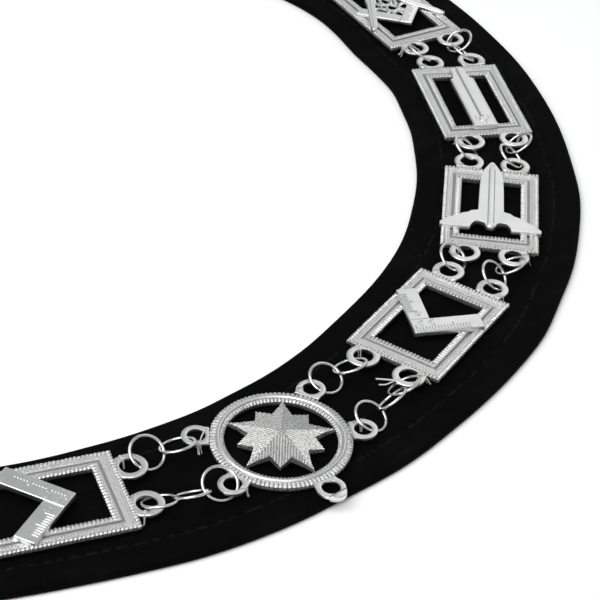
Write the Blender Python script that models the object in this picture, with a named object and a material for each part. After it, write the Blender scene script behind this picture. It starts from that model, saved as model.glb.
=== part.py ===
"""A chain collar that lies flat: a closed velvet band under a medallion and plates joined by rings.

The front of the collar, with the medallion, faces -Y. The neck opening is in the middle and +Z is up.
"""

import math

import bmesh
import bpy
import numpy as np
from mathutils import Vector

MM = 0.001

# Velvet band
BAND_WIDTH = 60.0 * MM
BAND_THICKNESS = 2.5 * MM
BAND_EDGE_ROUND = 0.9 * MM
BAND_STEPS_PER_PLATE = 4

# Clearance between a metal piece and the cloth under it
REST_GAP = 0.3 * MM

# Plates: a moulded frame round an open window
PLATE_LENGTH = 50.0 * MM
PLATE_WIDTH = 34.5 * MM
FRAME_THICKNESS = 2.3 * MM
SIDE_BAR = 6.5 * MM
END_BAR = 7.4 * MM
OUTER_RIM = 2.3 * MM
INNER_RIM = 1.9 * MM
RIM_HEIGHT = 0.6 * MM
CHANNEL_FALL = 0.25 * MM

# Flat eyes on the short sides of a plate
EYE_OUTER = 10.6 * MM
EYE_HOLE = 6.8 * MM
EYE_THICKNESS = 0.8 * MM
EYE_REACH = 3.8 * MM
EYE_SPREAD = 17.0 * MM
EYE_DROP = 0.05 * MM
EYE_SIDES = 8

# Emblems lying over the frames
EMBLEM_RISE = 1.2 * MM
EMBLEM_SINK = 0.5 * MM
RIB_HEIGHT = 0.4 * MM
SQUARE_ARM = 24.0 * MM
SQUARE_BLADE = 7.0 * MM
SQUARE_APEX = 10.0 * MM
SMALL_SQUARE_ARM = 23.0 * MM
SMALL_SQUARE_BLADE = 5.0 * MM
SMALL_SQUARE_APEX = 13.0 * MM
COMPASS_HEAD = 6.4 * MM
COMPASS_HEAD_SIDES = 8
COMPASS_HINGE = 20.0 * MM
COMPASS_SPAN = 34.0 * MM
COMPASS_TIP = 11.6 * MM
COMPASS_LEG_TOP = 4.2 * MM
COMPASS_LEG_TIP = 3.0 * MM
TRACERY_HOLE = 3.8 * MM
TRACERY_HOLE_SIDES = 4
LEVEL_RIB = 2.4 * MM
PLUMB_RIB = 1.6 * MM
PLUMB_RIB_NEAR = 15.0 * MM
PLUMB_RIB_FAR = 20.0 * MM
PLUMB_BOB = 3.6 * MM
PLUMB_BOB_SIDES = 6

# Medallion: a moulded ring round a ten-pointed star
MEDAL_OUTER = 44.4 * MM
MEDAL_OPENING = 35.0 * MM
MEDAL_SIDES = 24
MEDAL_BEAD_EDGE = 0.32
MEDAL_EYE_OUTER = 9.0 * MM
MEDAL_EYE_HOLE = 6.0 * MM
MEDAL_EYE_REACH = 3.8 * MM
MEDAL_TURN = -4.0
MEDAL_SHIFT = -1.0 * MM
STAR_LONG = 36.6 * MM
STAR_SHORT = 28.4 * MM
STAR_VALLEY = 20.4 * MM
STAR_APEX_RISE = 1.6 * MM
STAR_RAYS = 10

# Jump rings
RING_OUTER = 12.0 * MM
LONG_RING_OUTER = 13.2 * MM
RING_WIRE = 1.0 * MM
RING_SIDES = 10
WIRE_SIDES = 5
RING_GAP = 0.12 * MM
RING_LEAN = 38
MEDAL_RING_LEAN = 26
LEAN_SPREAD = 20
RING_WELD = 0.75
INNER_RINGS = 1
OUTER_RINGS = 2
MORE_RINGS_BY_MEDAL = 1

# Clear length between two plates, bridged by the rings
PLATE_GAP = 22.5 * MM

# The seen stretch of the chain, medallion first: the plate, the bearing of the step that leads to it and
# the way it points, both in degrees, and the clear length before it as a share of the usual one
SEEN_PLATES = (
    ("square", 12.9, 18.8, 1.369),
    ("level", 30.4, 45.5, 1.033),
    ("plumb", 52.5, 63.1, 1.044),
    ("compasses", 73.2, 81.6, 0.971),
)
HIDDEN_PLATES = ("square", "level", "plumb", "compasses")
EASE_SEARCH = (0.4, 2.5)

# Where the cloth's edges run: the station counted in plates from the medallion, positive on the side that
# is seen most, then the cloth inside and outside the chain's line as shares of its width
BAND_MARGINS = (
    (-3.0, 0.46, 0.54),
    (-2.0, 0.43, 0.53),
    (-1.0, 0.378, 0.508),
    (-0.5, 0.428, 0.512),
    (0.0, 0.482, 0.473),
    (0.5, 0.463, 0.520),
    (1.0, 0.463, 0.557),
    (1.25, 0.462, 0.558),
    (1.5, 0.470, 0.530),
    (2.0, 0.467, 0.542),
    (2.25, 0.450, 0.557),
    (2.5, 0.443, 0.537),
    (3.0, 0.447, 0.520),
    (3.25, 0.430, 0.522),
    (3.75, 0.483, 0.520),
    (4.0, 0.457, 0.512),
    (4.5, 0.420, 0.540),
    (6.0, 0.480, 0.520),
    (12.0, 0.480, 0.520),
)

# Half outlines of the emblems, from the end far from the medallion to the near one: half width as a share
# of the plate's width, place along the plate as a share of its length
LEVEL_HALF = (
    (0.020, 0.584),
    (0.072, 0.476),
    (0.128, 0.368),
    (0.136, -0.058),
    (0.197, -0.069),
    (0.270, -0.108),
    (0.440, -0.190),
    (0.508, -0.245),
    (0.510, -0.300),
    (0.183, -0.300),
    (0.150, -0.216),
    (0.055, -0.216),
    (0.046, -0.255),
    (0.020, -0.280),
)
PLUMB_HALF = (
    (0.084, 0.430),
    (0.084, 0.300),
    (0.136, 0.265),
    (0.136, -0.415),
)
TRACERY_HALF = (
    (0.030, 0.300),
    (0.240, 0.060),
    (0.290, -0.050),
    (0.030, -0.190),
)
TRACERY_HOLES = (
    (0.0, 0.034),
    (0.0, 0.145),
    (0.0, -0.080),
    (0.160, 0.015),
    (-0.160, 0.015),
)

# Eyes of the medallion in degrees round it, the free one for a jewel last
MEDAL_EYES = {
    "right_inner": 33.8,
    "right_outer": -21.6,
    "left_outer": 201.6,
    "left_inner": 146.2,
    "free": -90.0,
}

# Heights over the table
METAL_LOW = BAND_THICKNESS + REST_GAP
CHANNEL_TOP = METAL_LOW + FRAME_THICKNESS
RIM_TOP = CHANNEL_TOP + RIM_HEIGHT
EMBLEM_LOW = CHANNEL_TOP - EMBLEM_SINK
EMBLEM_TOP = RIM_TOP + EMBLEM_RISE
EYE_TOP = RIM_TOP - EYE_DROP
EYE_LOW = EYE_TOP - EYE_THICKNESS
EYE_MIDDLE = EYE_TOP - EYE_THICKNESS / 2

WIRE_RADIUS = RING_WIRE / 2

# Faces that meet at less than the first angle are one face, at less than the second one smooth surface
FLAT_ANGLE = math.radians(0.1)
SHARP_ANGLE = math.radians(35.0)


def clear_scene():
    for item in list(bpy.data.objects):
        bpy.data.objects.remove(item)


def material(name, color, roughness, metallic):
    made = bpy.data.materials.new(name)
    made.use_nodes = True
    shader = made.node_tree.nodes["Principled BSDF"]
    shader.inputs["Base Color"].default_value = (*color, 1.0)
    shader.inputs["Roughness"].default_value = roughness
    shader.inputs["Metallic"].default_value = metallic
    return made


def place(name, mesh, finish, parent, spot=(0.0, 0.0), turn=0.0):
    """An object at spot in plan, turned in plan by turn radians, under the collar's parent."""
    piece = bpy.data.objects.new(name, mesh)
    bpy.context.scene.collection.objects.link(piece)
    piece.parent = parent
    piece.location = (spot[0], spot[1], 0.0)
    piece.rotation_euler = (0.0, 0.0, turn)
    if not mesh.materials:
        mesh.materials.append(finish)
    return piece


def grid_mesh(name, rows, close_rows=False):
    """A skin over rows of points of equal length, each row a closed loop, capped where the rows end."""
    rows = np.asarray(rows, dtype=float)
    count, around = rows.shape[:2]
    faces = []
    for i in range(count if close_rows else count - 1):
        for j in range(around):
            a, b = i * around, ((i + 1) % count) * around
            k = (j + 1) % around
            faces.append((a + j, a + k, b + k, b + j))
    if not close_rows:
        faces.append(tuple(range(around))[::-1])
        faces.append(tuple((count - 1) * around + j for j in range(around)))
    mesh = bpy.data.meshes.new(name)
    mesh.from_pydata(rows.reshape(-1, 3).tolist(), [], faces)
    return outward(mesh)


def outward(mesh):
    """The mesh with faces turned outwards, those in one plane merged, and round surfaces shaded smooth."""
    work = bmesh.new()
    work.from_mesh(mesh)
    bmesh.ops.dissolve_limit(work, angle_limit=FLAT_ANGLE, verts=work.verts[:], edges=work.edges[:])
    bmesh.ops.recalc_face_normals(work, faces=work.faces[:])
    work.to_mesh(mesh)
    work.free()
    mesh.shade_smooth()
    mesh.set_sharp_from_angle(angle=SHARP_ANGLE)
    return mesh


def slab(outline, low, high):
    """A flat piece with the given outline between two heights."""
    outline = np.asarray(outline, dtype=float)
    rows = [np.c_[outline, np.full(len(outline), z)] for z in (low, high)]
    return grid_mesh("slab", rows)


def polygon(radius, sides, centre=(0.0, 0.0), start=0.0):
    """The corners of a regular polygon in plan."""
    angles = start + 2 * math.pi * np.arange(sides) / sides
    return np.c_[centre[0] + radius * np.cos(angles), centre[1] + radius * np.sin(angles)]


def both_sides(half):
    """A closed outline from its half at +X, whose points run from the far end to the near one."""
    half = np.asarray(half, dtype=float)
    return np.r_[half, (half * (-1.0, 1.0))[::-1]]


def solid(mesh):
    """A helper object for a Boolean, which takes no part in the collar itself."""
    made = bpy.data.objects.new("helper", mesh)
    bpy.context.scene.collection.objects.link(made)
    made.hide_render = True
    made.display_type = "WIRE"
    return made


def combine(name, meshes, cutters=()):
    """One closed mesh: the meshes joined where they overlap, less the cutters."""
    base = solid(meshes[0])
    helpers = [base]
    for operation, group in (("UNION", meshes[1:]), ("DIFFERENCE", cutters)):
        for mesh in group:
            helper = solid(mesh)
            helpers.append(helper)
            step = base.modifiers.new(operation.lower(), "BOOLEAN")
            step.operation = operation
            step.solver = "EXACT"
            step.object = helper
    bpy.context.view_layer.update()
    graph = bpy.context.evaluated_depsgraph_get()
    joined = bpy.data.meshes.new_from_object(base.evaluated_get(graph))
    joined.name = name
    for helper in helpers:
        bpy.data.objects.remove(helper)
    joined.materials.clear()
    return outward(joined)


def eye(centre, outer, hole):
    """The disc of a flat eye and the cutter of its hole, whose flats lie on the round hole's edge."""
    half_side = math.pi / EYE_SIDES
    disc = slab(polygon(outer / 2, EYE_SIDES, centre, half_side), EYE_LOW, EYE_TOP)
    across_corners = hole / 2 / math.cos(half_side)
    bore = polygon(across_corners, EYE_SIDES, centre, half_side)
    return disc, slab(bore, EYE_LOW - REST_GAP, EYE_TOP + REST_GAP)


# Chain line


def seen_stations():
    """Places in metres and headings in degrees of the medallion and the seen plates of one side."""
    x, y, before = 0.0, 0.0, MEDAL_OUTER
    stations = [(x, y, 0.0)]
    for _, bearing, heading, share in SEEN_PLATES:
        step = (before + PLATE_LENGTH) / 2 + share * PLATE_GAP
        x += step * math.cos(math.radians(bearing))
        y += step * math.sin(math.radians(bearing))
        stations.append((x, y, heading))
        before = PLATE_LENGTH
    return stations


def hidden_bearings(ease):
    """Bearings of the hidden steps: they ease from the last seen one to straight across the back."""
    first = SEEN_PLATES[-1][1]
    count = len(HIDDEN_PLATES) + 1
    return [first + (180.0 - first) * (k / count) ** ease for k in range(1, count + 1)]


def hidden_ease(start_x):
    """The ease for which the chain meets its mirror image half a step past the last plate."""
    low, high = EASE_SEARCH
    for _ in range(50):
        middle = (low + high) / 2
        reach = sum(math.cos(math.radians(b)) for b in hidden_bearings(middle)[:-1])
        if start_x + (PLATE_LENGTH + PLATE_GAP) * (reach - 0.5) > 0:
            high = middle
        else:
            low = middle
    return (low + high) / 2


def side_stations():
    """The medallion and the plates of one side, all the way to the back."""
    stations = seen_stations()
    x, y, _ = stations[-1]
    bearings = hidden_bearings(hidden_ease(x))
    for bearing, following in zip(bearings, bearings[1:]):
        x += (PLATE_LENGTH + PLATE_GAP) * math.cos(math.radians(bearing))
        y += (PLATE_LENGTH + PLATE_GAP) * math.sin(math.radians(bearing))
        stations.append((x, y, (bearing + following) / 2))
    return stations


def loop_stations():
    """Places in metres and headings in radians all round the loop, from the medallion and back to it."""
    side = side_stations()
    mirrored = [(-x, y, 360.0 - heading) for x, y, heading in side[:0:-1]]
    loop = np.array(side + mirrored)
    return loop[:, :2], np.radians(loop[:, 2])


def chain_line(spots, headings, t):
    """Point and direction on the chain's line at station t, as a cubic between two stations."""
    count = len(spots)
    i = math.floor(t)
    u = t - i
    a, b = spots[i % count], spots[(i + 1) % count]
    chord = np.hypot(*(b - a))
    turns = [headings[k % count] for k in (i, i + 1)]
    ends = [chord * np.array([math.cos(turn), math.sin(turn)]) for turn in turns]
    point = (2 * u**3 - 3 * u**2 + 1) * a + (u**3 - 2 * u**2 + u) * ends[0]
    point = point + (3 * u**2 - 2 * u**3) * b + (u**3 - u**2) * ends[1]
    slope = (6 * u**2 - 6 * u) * (a - b) + (3 * u**2 - 4 * u + 1) * ends[0]
    slope = slope + (3 * u**2 - 2 * u) * ends[1]
    return point, slope / np.hypot(*slope)


def margins(t, count):
    """The cloth's width inside and outside the chain's line at station t, eased between the rows."""
    rows = sorted(BAND_MARGINS)
    rows = rows + [(rows[0][0] + count, *rows[0][1:])]
    t = (t - rows[0][0]) % count + rows[0][0]
    for (t0, in0, out0), (t1, in1, out1) in zip(rows, rows[1:]):
        if t0 <= t <= t1:
            u = (t - t0) / (t1 - t0)
            u = u * u * (3 - 2 * u)
            return BAND_WIDTH * (in0 + u * (in1 - in0)), BAND_WIDTH * (out0 + u * (out1 - out0))
    raise ValueError("a station outside the table")


def band_rows(spots, headings):
    """Closed sections of the cloth round the loop: flat underneath, its edges rounded off to the top."""
    count = len(spots)
    rows = []
    for t in np.arange(0, count, 1 / BAND_STEPS_PER_PLATE):
        point, along = chain_line(spots, headings, t)
        inward = np.array([-along[1], along[0]])
        inner, outer = margins(t, count)
        section = (
            (inner, 0.0),
            (inner - BAND_EDGE_ROUND, BAND_THICKNESS),
            (BAND_EDGE_ROUND - outer, BAND_THICKNESS),
            (-outer, 0.0),
        )
        rows.append([(*(point + reach * inward), z) for reach, z in section])
    return np.array(rows)


# Plates


def frame_mesh():
    """The moulded frame: rectangles from the outer edge, over the rims and channel, to the window."""
    window = (PLATE_WIDTH / 2 - SIDE_BAR, PLATE_LENGTH / 2 - END_BAR)
    outside = (PLATE_WIDTH / 2, PLATE_LENGTH / 2)
    steps = (
        (outside, 0.0, METAL_LOW),
        (outside, 0.0, RIM_TOP),
        (outside, -OUTER_RIM, RIM_TOP),
        (outside, -OUTER_RIM, CHANNEL_TOP),
        (window, INNER_RIM, CHANNEL_TOP - CHANNEL_FALL),
        (window, 0.0, RIM_TOP - CHANNEL_FALL),
        (window, 0.0, METAL_LOW),
    )
    corners = ((1, 1), (-1, 1), (-1, -1), (1, -1))
    rows = [[(sx * (w + grow), sy * (h + grow), z) for (w, h), grow, z in steps] for sx, sy in corners]
    return grid_mesh("frame", rows, close_rows=True)


def eye_spots():
    """The four eyes of a plate in its own axes, +Y away from the medallion, by end and side."""
    reach = PLATE_LENGTH / 2 + EYE_REACH
    half = EYE_SPREAD / 2
    return {(end, side): np.array([side * half, end * reach]) for end in (1, -1) for side in (1, -1)}


def try_square(arm, blade, apex, high):
    """Two blades at right angles, their outer corner at apex towards the medallion."""
    along = np.array([1.0, 1.0]) / math.sqrt(2)
    across = np.array([-1.0, 1.0]) / math.sqrt(2)
    corner = np.array([0.0, -apex])
    end = corner + arm * along
    half = [corner + blade * (along + across), end + blade * across, end]
    return slab(np.r_[half, [corner], (np.array(half) * (-1, 1))[:0:-1]], EMBLEM_LOW, high)


def shares(table):
    """A table of shares of the plate's width and length as lengths."""
    return np.array(table) * (PLATE_WIDTH, PLATE_LENGTH)


def bar(width, near, far, low, high):
    """A straight bar along the plate between two places on it."""
    return slab([(width / 2, far), (-width / 2, far), (-width / 2, near), (width / 2, near)], low, high)


def compass_leg(side):
    """One leg, from the hinge to its tip on a long side."""
    top = np.array([0.0, COMPASS_HINGE])
    tip = np.array([side * COMPASS_SPAN / 2, -COMPASS_TIP])
    run = (tip - top) / np.hypot(*(tip - top))
    across = np.array([-run[1], run[0]])
    wide, narrow = COMPASS_LEG_TOP / 2 * across, COMPASS_LEG_TIP / 2 * across
    return slab([top + wide, tip + narrow, tip - narrow, top - wide], EMBLEM_LOW, EMBLEM_TOP)


def square_emblem():
    return [try_square(SQUARE_ARM, SQUARE_BLADE, SQUARE_APEX, EMBLEM_TOP)], []


def level_emblem():
    outline = both_sides(shares(LEVEL_HALF))
    tip = LEVEL_HALF[1][1] * PLATE_LENGTH
    bob = LEVEL_HALF[-3][1] * PLATE_LENGTH
    rib = bar(LEVEL_RIB, bob, tip, EMBLEM_TOP - RIB_HEIGHT, EMBLEM_TOP + RIB_HEIGHT)
    return [slab(outline, EMBLEM_LOW, EMBLEM_TOP), rib], []


def plumb_emblem():
    outline = both_sides(shares(PLUMB_HALF))
    low, high = EMBLEM_TOP - RIB_HEIGHT, EMBLEM_TOP + RIB_HEIGHT
    rib = bar(PLUMB_RIB, -PLUMB_RIB_NEAR, PLUMB_RIB_FAR, low, high)
    bob = slab(polygon(PLUMB_BOB / 2, PLUMB_BOB_SIDES, (0.0, -PLUMB_RIB_NEAR)), low, high)
    return [slab(outline, EMBLEM_LOW, EMBLEM_TOP), rib, bob], []


def compasses_emblem():
    """Compasses over a square, with a pierced web between them."""
    low_top = EMBLEM_TOP - RIB_HEIGHT
    square = try_square(SMALL_SQUARE_ARM, SMALL_SQUARE_BLADE, SMALL_SQUARE_APEX, low_top)
    web = slab(both_sides(shares(TRACERY_HALF)), EMBLEM_LOW, low_top)
    disc = polygon(COMPASS_HEAD / 2, COMPASS_HEAD_SIDES, (0.0, COMPASS_HINGE))
    head = slab(disc, EMBLEM_LOW, EMBLEM_TOP + RIB_HEIGHT)
    bores = [polygon(TRACERY_HOLE / 2, TRACERY_HOLE_SIDES, spot) for spot in shares(TRACERY_HOLES)]
    holes = [slab(bore, EMBLEM_LOW - REST_GAP, EMBLEM_TOP) for bore in bores]
    return [combine("web", [web], holes), square, compass_leg(1), compass_leg(-1), head], []


EMBLEMS = {
    "square": square_emblem,
    "level": level_emblem,
    "plumb": plumb_emblem,
    "compasses": compasses_emblem,
}


def plate_mesh(kind):
    """Frame, eyes and emblem as one casting."""
    shapes, cutters = EMBLEMS[kind]()
    for spot in eye_spots().values():
        disc, bore = eye(spot, EYE_OUTER, EYE_HOLE)
        shapes.append(disc)
        cutters.append(bore)
    return combine(kind, [frame_mesh(), *shapes], cutters)


# Medallion


def medal_eye_spots():
    """The eyes of the medallion in its own axes, by name."""
    radius = MEDAL_OUTER / 2 + MEDAL_EYE_REACH
    angles = {name: math.radians(degrees + MEDAL_TURN) for name, degrees in MEDAL_EYES.items()}
    return {name: radius * np.array([math.cos(a), math.sin(a)]) for name, a in angles.items()}


def star_mesh():
    """A star of long and short rays in turn, its faces rising from the edge to one apex."""
    reaches = np.array([STAR_LONG, STAR_VALLEY, STAR_SHORT, STAR_VALLEY]) / 2
    corners = []
    for k in range(2 * STAR_RAYS):
        angle = math.radians(MEDAL_TURN - 90.0) + math.pi * k / STAR_RAYS
        reach = reaches[k % len(reaches)]
        corners.append((reach * math.cos(angle), reach * math.sin(angle)))
    count = len(corners)
    points = [(x, y, z) for z in (EMBLEM_LOW, RIM_TOP - RIB_HEIGHT) for x, y in corners]
    points.append((0.0, 0.0, EMBLEM_TOP + STAR_APEX_RISE))
    faces = [tuple(range(count))[::-1]]
    for k in range(count):
        following = (k + 1) % count
        faces.append((k, following, count + following, count + k))
        faces.append((count + k, count + following, 2 * count))
    mesh = bpy.data.meshes.new("star")
    mesh.from_pydata(points, [], faces)
    return outward(mesh)


def medal_ring_mesh():
    """A turned ring: toothed edges low at both sides of a smooth rounded bead."""
    outer, inner = MEDAL_OUTER / 2, MEDAL_OPENING / 2
    width = outer - inner
    profile = (
        (outer, METAL_LOW),
        (outer, RIM_TOP),
        (outer - MEDAL_BEAD_EDGE * width, CHANNEL_TOP),
        (outer - width / 2, RIM_TOP + RIB_HEIGHT),
        (inner + MEDAL_BEAD_EDGE * width, CHANNEL_TOP),
        (inner, RIM_TOP),
        (inner, METAL_LOW),
    )
    rows = []
    for k in range(MEDAL_SIDES):
        angle = 2 * math.pi * k / MEDAL_SIDES
        rows.append([(r * math.cos(angle), r * math.sin(angle), z) for r, z in profile])
    return grid_mesh("medallion_ring", rows, close_rows=True)


def medallion_mesh():
    shapes, bores = [star_mesh()], []
    for spot in medal_eye_spots().values():
        disc, bore = eye(spot, MEDAL_EYE_OUTER, MEDAL_EYE_HOLE)
        shapes.append(disc)
        bores.append(bore)
    return combine("medallion", [medal_ring_mesh(), *shapes], bores)


# Jump rings


def ring_centre(radius, tilt):
    """Height of a leaning ring's centre that lies on the cloth."""
    return BAND_THICKNESS + RING_GAP + radius * math.sin(tilt) + WIRE_RADIUS


def half_chord(radius, tilt):
    """Half the width of a leaning ring where it passes the eyes' middle plane."""
    drop = (ring_centre(radius, tilt) - EYE_MIDDLE) / (radius * math.sin(tilt))
    return radius * math.sqrt(1 - drop**2) if abs(drop) < 1 else 0.0


def ring_spots(radius, count, tilt):
    """Centres of the rings of a run along its line, each wire pressed against the next one's."""
    pitch = 2 * half_chord(radius, tilt) - RING_WELD * RING_WIRE
    return [(k - (count - 1) / 2) * pitch for k in range(count)]


def ring_points(radius, x, tilt, lean, steps):
    """The wire's centre line: a circle whose plane holds the run's line and leans to one side."""
    centre = ring_centre(radius, tilt)
    angle = 2 * math.pi * np.arange(steps) / steps
    side = (centre - EYE_MIDDLE) / math.tan(tilt)
    up = radius * np.sin(angle)
    across = lean * (side + up * math.cos(tilt))
    return np.c_[x + radius * np.cos(angle), across, centre + up * math.sin(tilt)]


def eye_clearance(points, eye_x, hole, outer):
    """How far the wire stays from an eye centred at eye_x on the run's line, negative where it cuts it."""
    radial = np.hypot(points[:, 0] - eye_x, points[:, 1])
    beside = np.maximum(np.maximum(hole / 2 - radial, radial - outer / 2), 0.0)
    above = np.maximum(np.abs(points[:, 2] - EYE_MIDDLE) - EYE_THICKNESS / 2, 0.0)
    return float(np.hypot(beside, above).min()) - WIRE_RADIUS


def run_tilt(radius, length, count, ends, usual):
    """The lean nearest the usual one at which the run threads both its eyes and touches neither."""
    leans = range(usual - LEAN_SPREAD, usual + LEAN_SPREAD + 1)
    for degrees in sorted(leans, key=lambda lean: abs(lean - usual)):
        tilt = math.radians(degrees)
        spots = ring_spots(radius, count, tilt)
        span = spots[-1] + half_chord(radius, tilt)
        free = True
        for sign, (outer, hole) in zip((-1, 1), ends):
            eye_x = sign * length / 2
            points = ring_points(radius, sign * spots[-1], tilt, 1, 360)
            threads = abs(span - length / 2) < hole / 2 - WIRE_RADIUS
            free = free and threads and eye_clearance(points, eye_x, hole, outer) >= RING_GAP
        if free:
            return tilt
    raise ValueError(f"no lean threads {count} rings over {length / MM:.1f} mm")


def ring_mesh(radius, x, tilt, lean):
    """One round wire ring, its cross-sections square to the wire."""
    height = ring_centre(radius, tilt)
    centre = np.array([x, lean * (height - EYE_MIDDLE) / math.tan(tilt), height])
    normal = Vector((0.0, -lean * math.sin(tilt), math.cos(tilt)))
    rows = []
    for point in ring_points(radius, x, tilt, lean, RING_SIDES):
        out = Vector(point - centre).normalized()
        angles = [2 * math.pi * k / WIRE_SIDES for k in range(WIRE_SIDES)]
        spokes = [math.cos(a) * out + math.sin(a) * normal for a in angles]
        rows.append([Vector(point) + WIRE_RADIUS * spoke for spoke in spokes])
    return grid_mesh("ring", rows, close_rows=True)


def run_mesh(outer, length, count, ends, lean):
    """The rings between two eyes, leaning to alternate sides and fused where they hang in each other."""
    radius = (outer - RING_WIRE) / 2
    tilt = run_tilt(radius, length, count, ends, lean)
    spots = ring_spots(radius, count, tilt)
    rings = [ring_mesh(radius, x, tilt, 1 - 2 * (k % 2)) for k, x in enumerate(spots)]
    return combine("ring_run", rings) if count > 1 else rings[0]


# Assembly


def centre_over_origin(collar):
    """Moves the collar in plan so that its bounding box is centred on the origin."""
    bpy.context.view_layer.update()
    corners = []
    for piece in collar.children:
        corners += [piece.matrix_world @ Vector(corner) for corner in piece.bound_box]
    middle = (np.min(corners, axis=0) + np.max(corners, axis=0)) / 2
    collar.location = (-middle[0], -middle[1], 0.0)
    bpy.context.view_layer.update()


def eye_on_plate(spots, headings, index, end, side):
    """An eye's place in the collar; end is +1 at the plate's end farther along the loop."""
    mirrored = index > len(spots) // 2
    turn = headings[index] - math.pi / 2 + (math.pi if mirrored else 0.0)
    local = eye_spots()[(-end, -side) if mirrored else (end, side)]
    c, s = math.cos(turn), math.sin(turn)
    return spots[index] + np.array([c * local[0] - s * local[1], s * local[0] + c * local[1]])


def build():
    clear_scene()
    velvet = material("velvet", (0.012, 0.012, 0.014), 0.95, 0.0)
    silver = material("silver_plate", (0.82, 0.82, 0.81), 0.28, 1.0)
    wire = material("ring_wire", (0.80, 0.80, 0.80), 0.18, 1.0)

    collar = bpy.data.objects.new("chain_collar", None)
    bpy.context.scene.collection.objects.link(collar)
    spots, headings = loop_stations()
    band = grid_mesh("velvet_band", band_rows(spots, headings), close_rows=True)
    place("velvet_band", band, velvet, collar)
    spots[0, 0] += MEDAL_SHIFT
    place("medallion", medallion_mesh(), silver, collar, spots[0])

    kinds = [name for name, *_ in SEEN_PLATES] + list(HIDDEN_PLATES)
    meshes = {kind: plate_mesh(kind) for kind in EMBLEMS}
    count = len(spots)
    labels = ["medallion"]
    for index in range(1, count):
        right = index <= len(kinds)
        step = index if right else count - index
        kind = kinds[step - 1]
        labels.append(f"{'right' if right else 'left'}_{step}")
        turn = headings[index] - math.pi / 2 + (0.0 if right else math.pi)
        place(f"plate_{labels[-1]}_{kind}", meshes[kind], silver, collar, spots[index], turn)

    medal_eyes = {name: spots[0] + spot for name, spot in medal_eye_spots().items()}
    plate_end, medal_end = (EYE_OUTER, EYE_HOLE), (MEDAL_EYE_OUTER, MEDAL_EYE_HOLE)
    for index in range(count):
        following = (index + 1) % count
        for side, side_name in ((-1, "inner"), (1, "outer")):
            first, last = index == 0, following == 0
            if first:
                start = medal_eyes[f"right_{side_name}"]
            else:
                start = eye_on_plate(spots, headings, index, 1, side)
            if last:
                end = medal_eyes[f"left_{side_name}"]
            else:
                end = eye_on_plate(spots, headings, following, -1, side)
            ends = (medal_end if first else plate_end, medal_end if last else plate_end)
            by_medal = first or last
            rings = INNER_RINGS if side < 0 else OUTER_RINGS
            rings += MORE_RINGS_BY_MEDAL if by_medal else 0
            size = LONG_RING_OUTER if by_medal and side < 0 else RING_OUTER
            lean = MEDAL_RING_LEAN if by_medal else RING_LEAN
            reach = end - start
            mesh = run_mesh(size, float(np.hypot(*reach)), rings, ends, lean)
            turn = math.atan2(reach[1], reach[0])
            name = f"rings_{side_name}_{labels[index]}_to_{labels[following]}"
            place(name, mesh, wire, collar, (start + end) / 2, turn)
    centre_over_origin(collar)


build()
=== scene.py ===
"""Dresses a chain collar: velvet, cast silver plates with toothed rims, a star medallion, rings and thread tacks.

Shapes are worked out in millimetres and put into the meshes in metres.
"""

import math

import bmesh
import bpy
import numpy as np
from mathutils import Matrix, Vector


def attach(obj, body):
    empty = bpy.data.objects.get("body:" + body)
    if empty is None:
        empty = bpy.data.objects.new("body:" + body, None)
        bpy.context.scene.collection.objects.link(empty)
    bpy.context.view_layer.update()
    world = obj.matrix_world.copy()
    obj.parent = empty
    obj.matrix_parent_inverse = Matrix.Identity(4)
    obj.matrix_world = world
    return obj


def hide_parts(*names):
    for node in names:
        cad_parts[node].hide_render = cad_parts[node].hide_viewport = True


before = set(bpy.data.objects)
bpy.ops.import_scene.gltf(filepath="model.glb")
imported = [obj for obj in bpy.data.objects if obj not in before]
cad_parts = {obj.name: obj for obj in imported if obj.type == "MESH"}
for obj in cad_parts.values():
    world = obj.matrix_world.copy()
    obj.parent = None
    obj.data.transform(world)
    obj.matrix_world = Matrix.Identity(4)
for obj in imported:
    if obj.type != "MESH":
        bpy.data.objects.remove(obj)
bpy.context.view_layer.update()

bl_info = {
    "name": "Chain collar",
    "version": (1, 0, 0),
    "blender": (4, 5, 0),
    "location": "View3D > Sidebar > Collar",
    "description": "Velvet, castings, rings and thread of a chain collar, with a plain studio round it",
    "category": "Object",
}

MM = 0.001
CLOTH_NODE = "velvet_band"
MEDALLION_NODE = "medallion"
PLATE_NODES = sorted(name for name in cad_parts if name.startswith("plate_"))
RUN_NODES = sorted(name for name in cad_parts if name.startswith("rings_"))

# Height of the velvet's top in millimetres
CLOTH_TOP = 2.5

# Faces that meet at more than this angle keep a crisp edge
CRISP = math.radians(42.0)


# Sizes and colours that a user would change


def length(name, description, default):
    """A length in metres, given here in millimetres."""
    return bpy.props.FloatProperty(
        name=name, description=description, default=default * MM, min=0.0, max=0.1, precision=5, unit="LENGTH"
    )


def colour(name, description, default):
    """A colour of a finish."""
    return bpy.props.FloatVectorProperty(
        name=name, description=description, default=default, min=0.0, max=1.0, size=3, subtype="COLOR"
    )


def share(name, description, default):
    """A number from 0 to 1."""
    return bpy.props.FloatProperty(
        name=name, description=description, default=default, min=0.0, max=1.0, subtype="FACTOR"
    )


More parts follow.
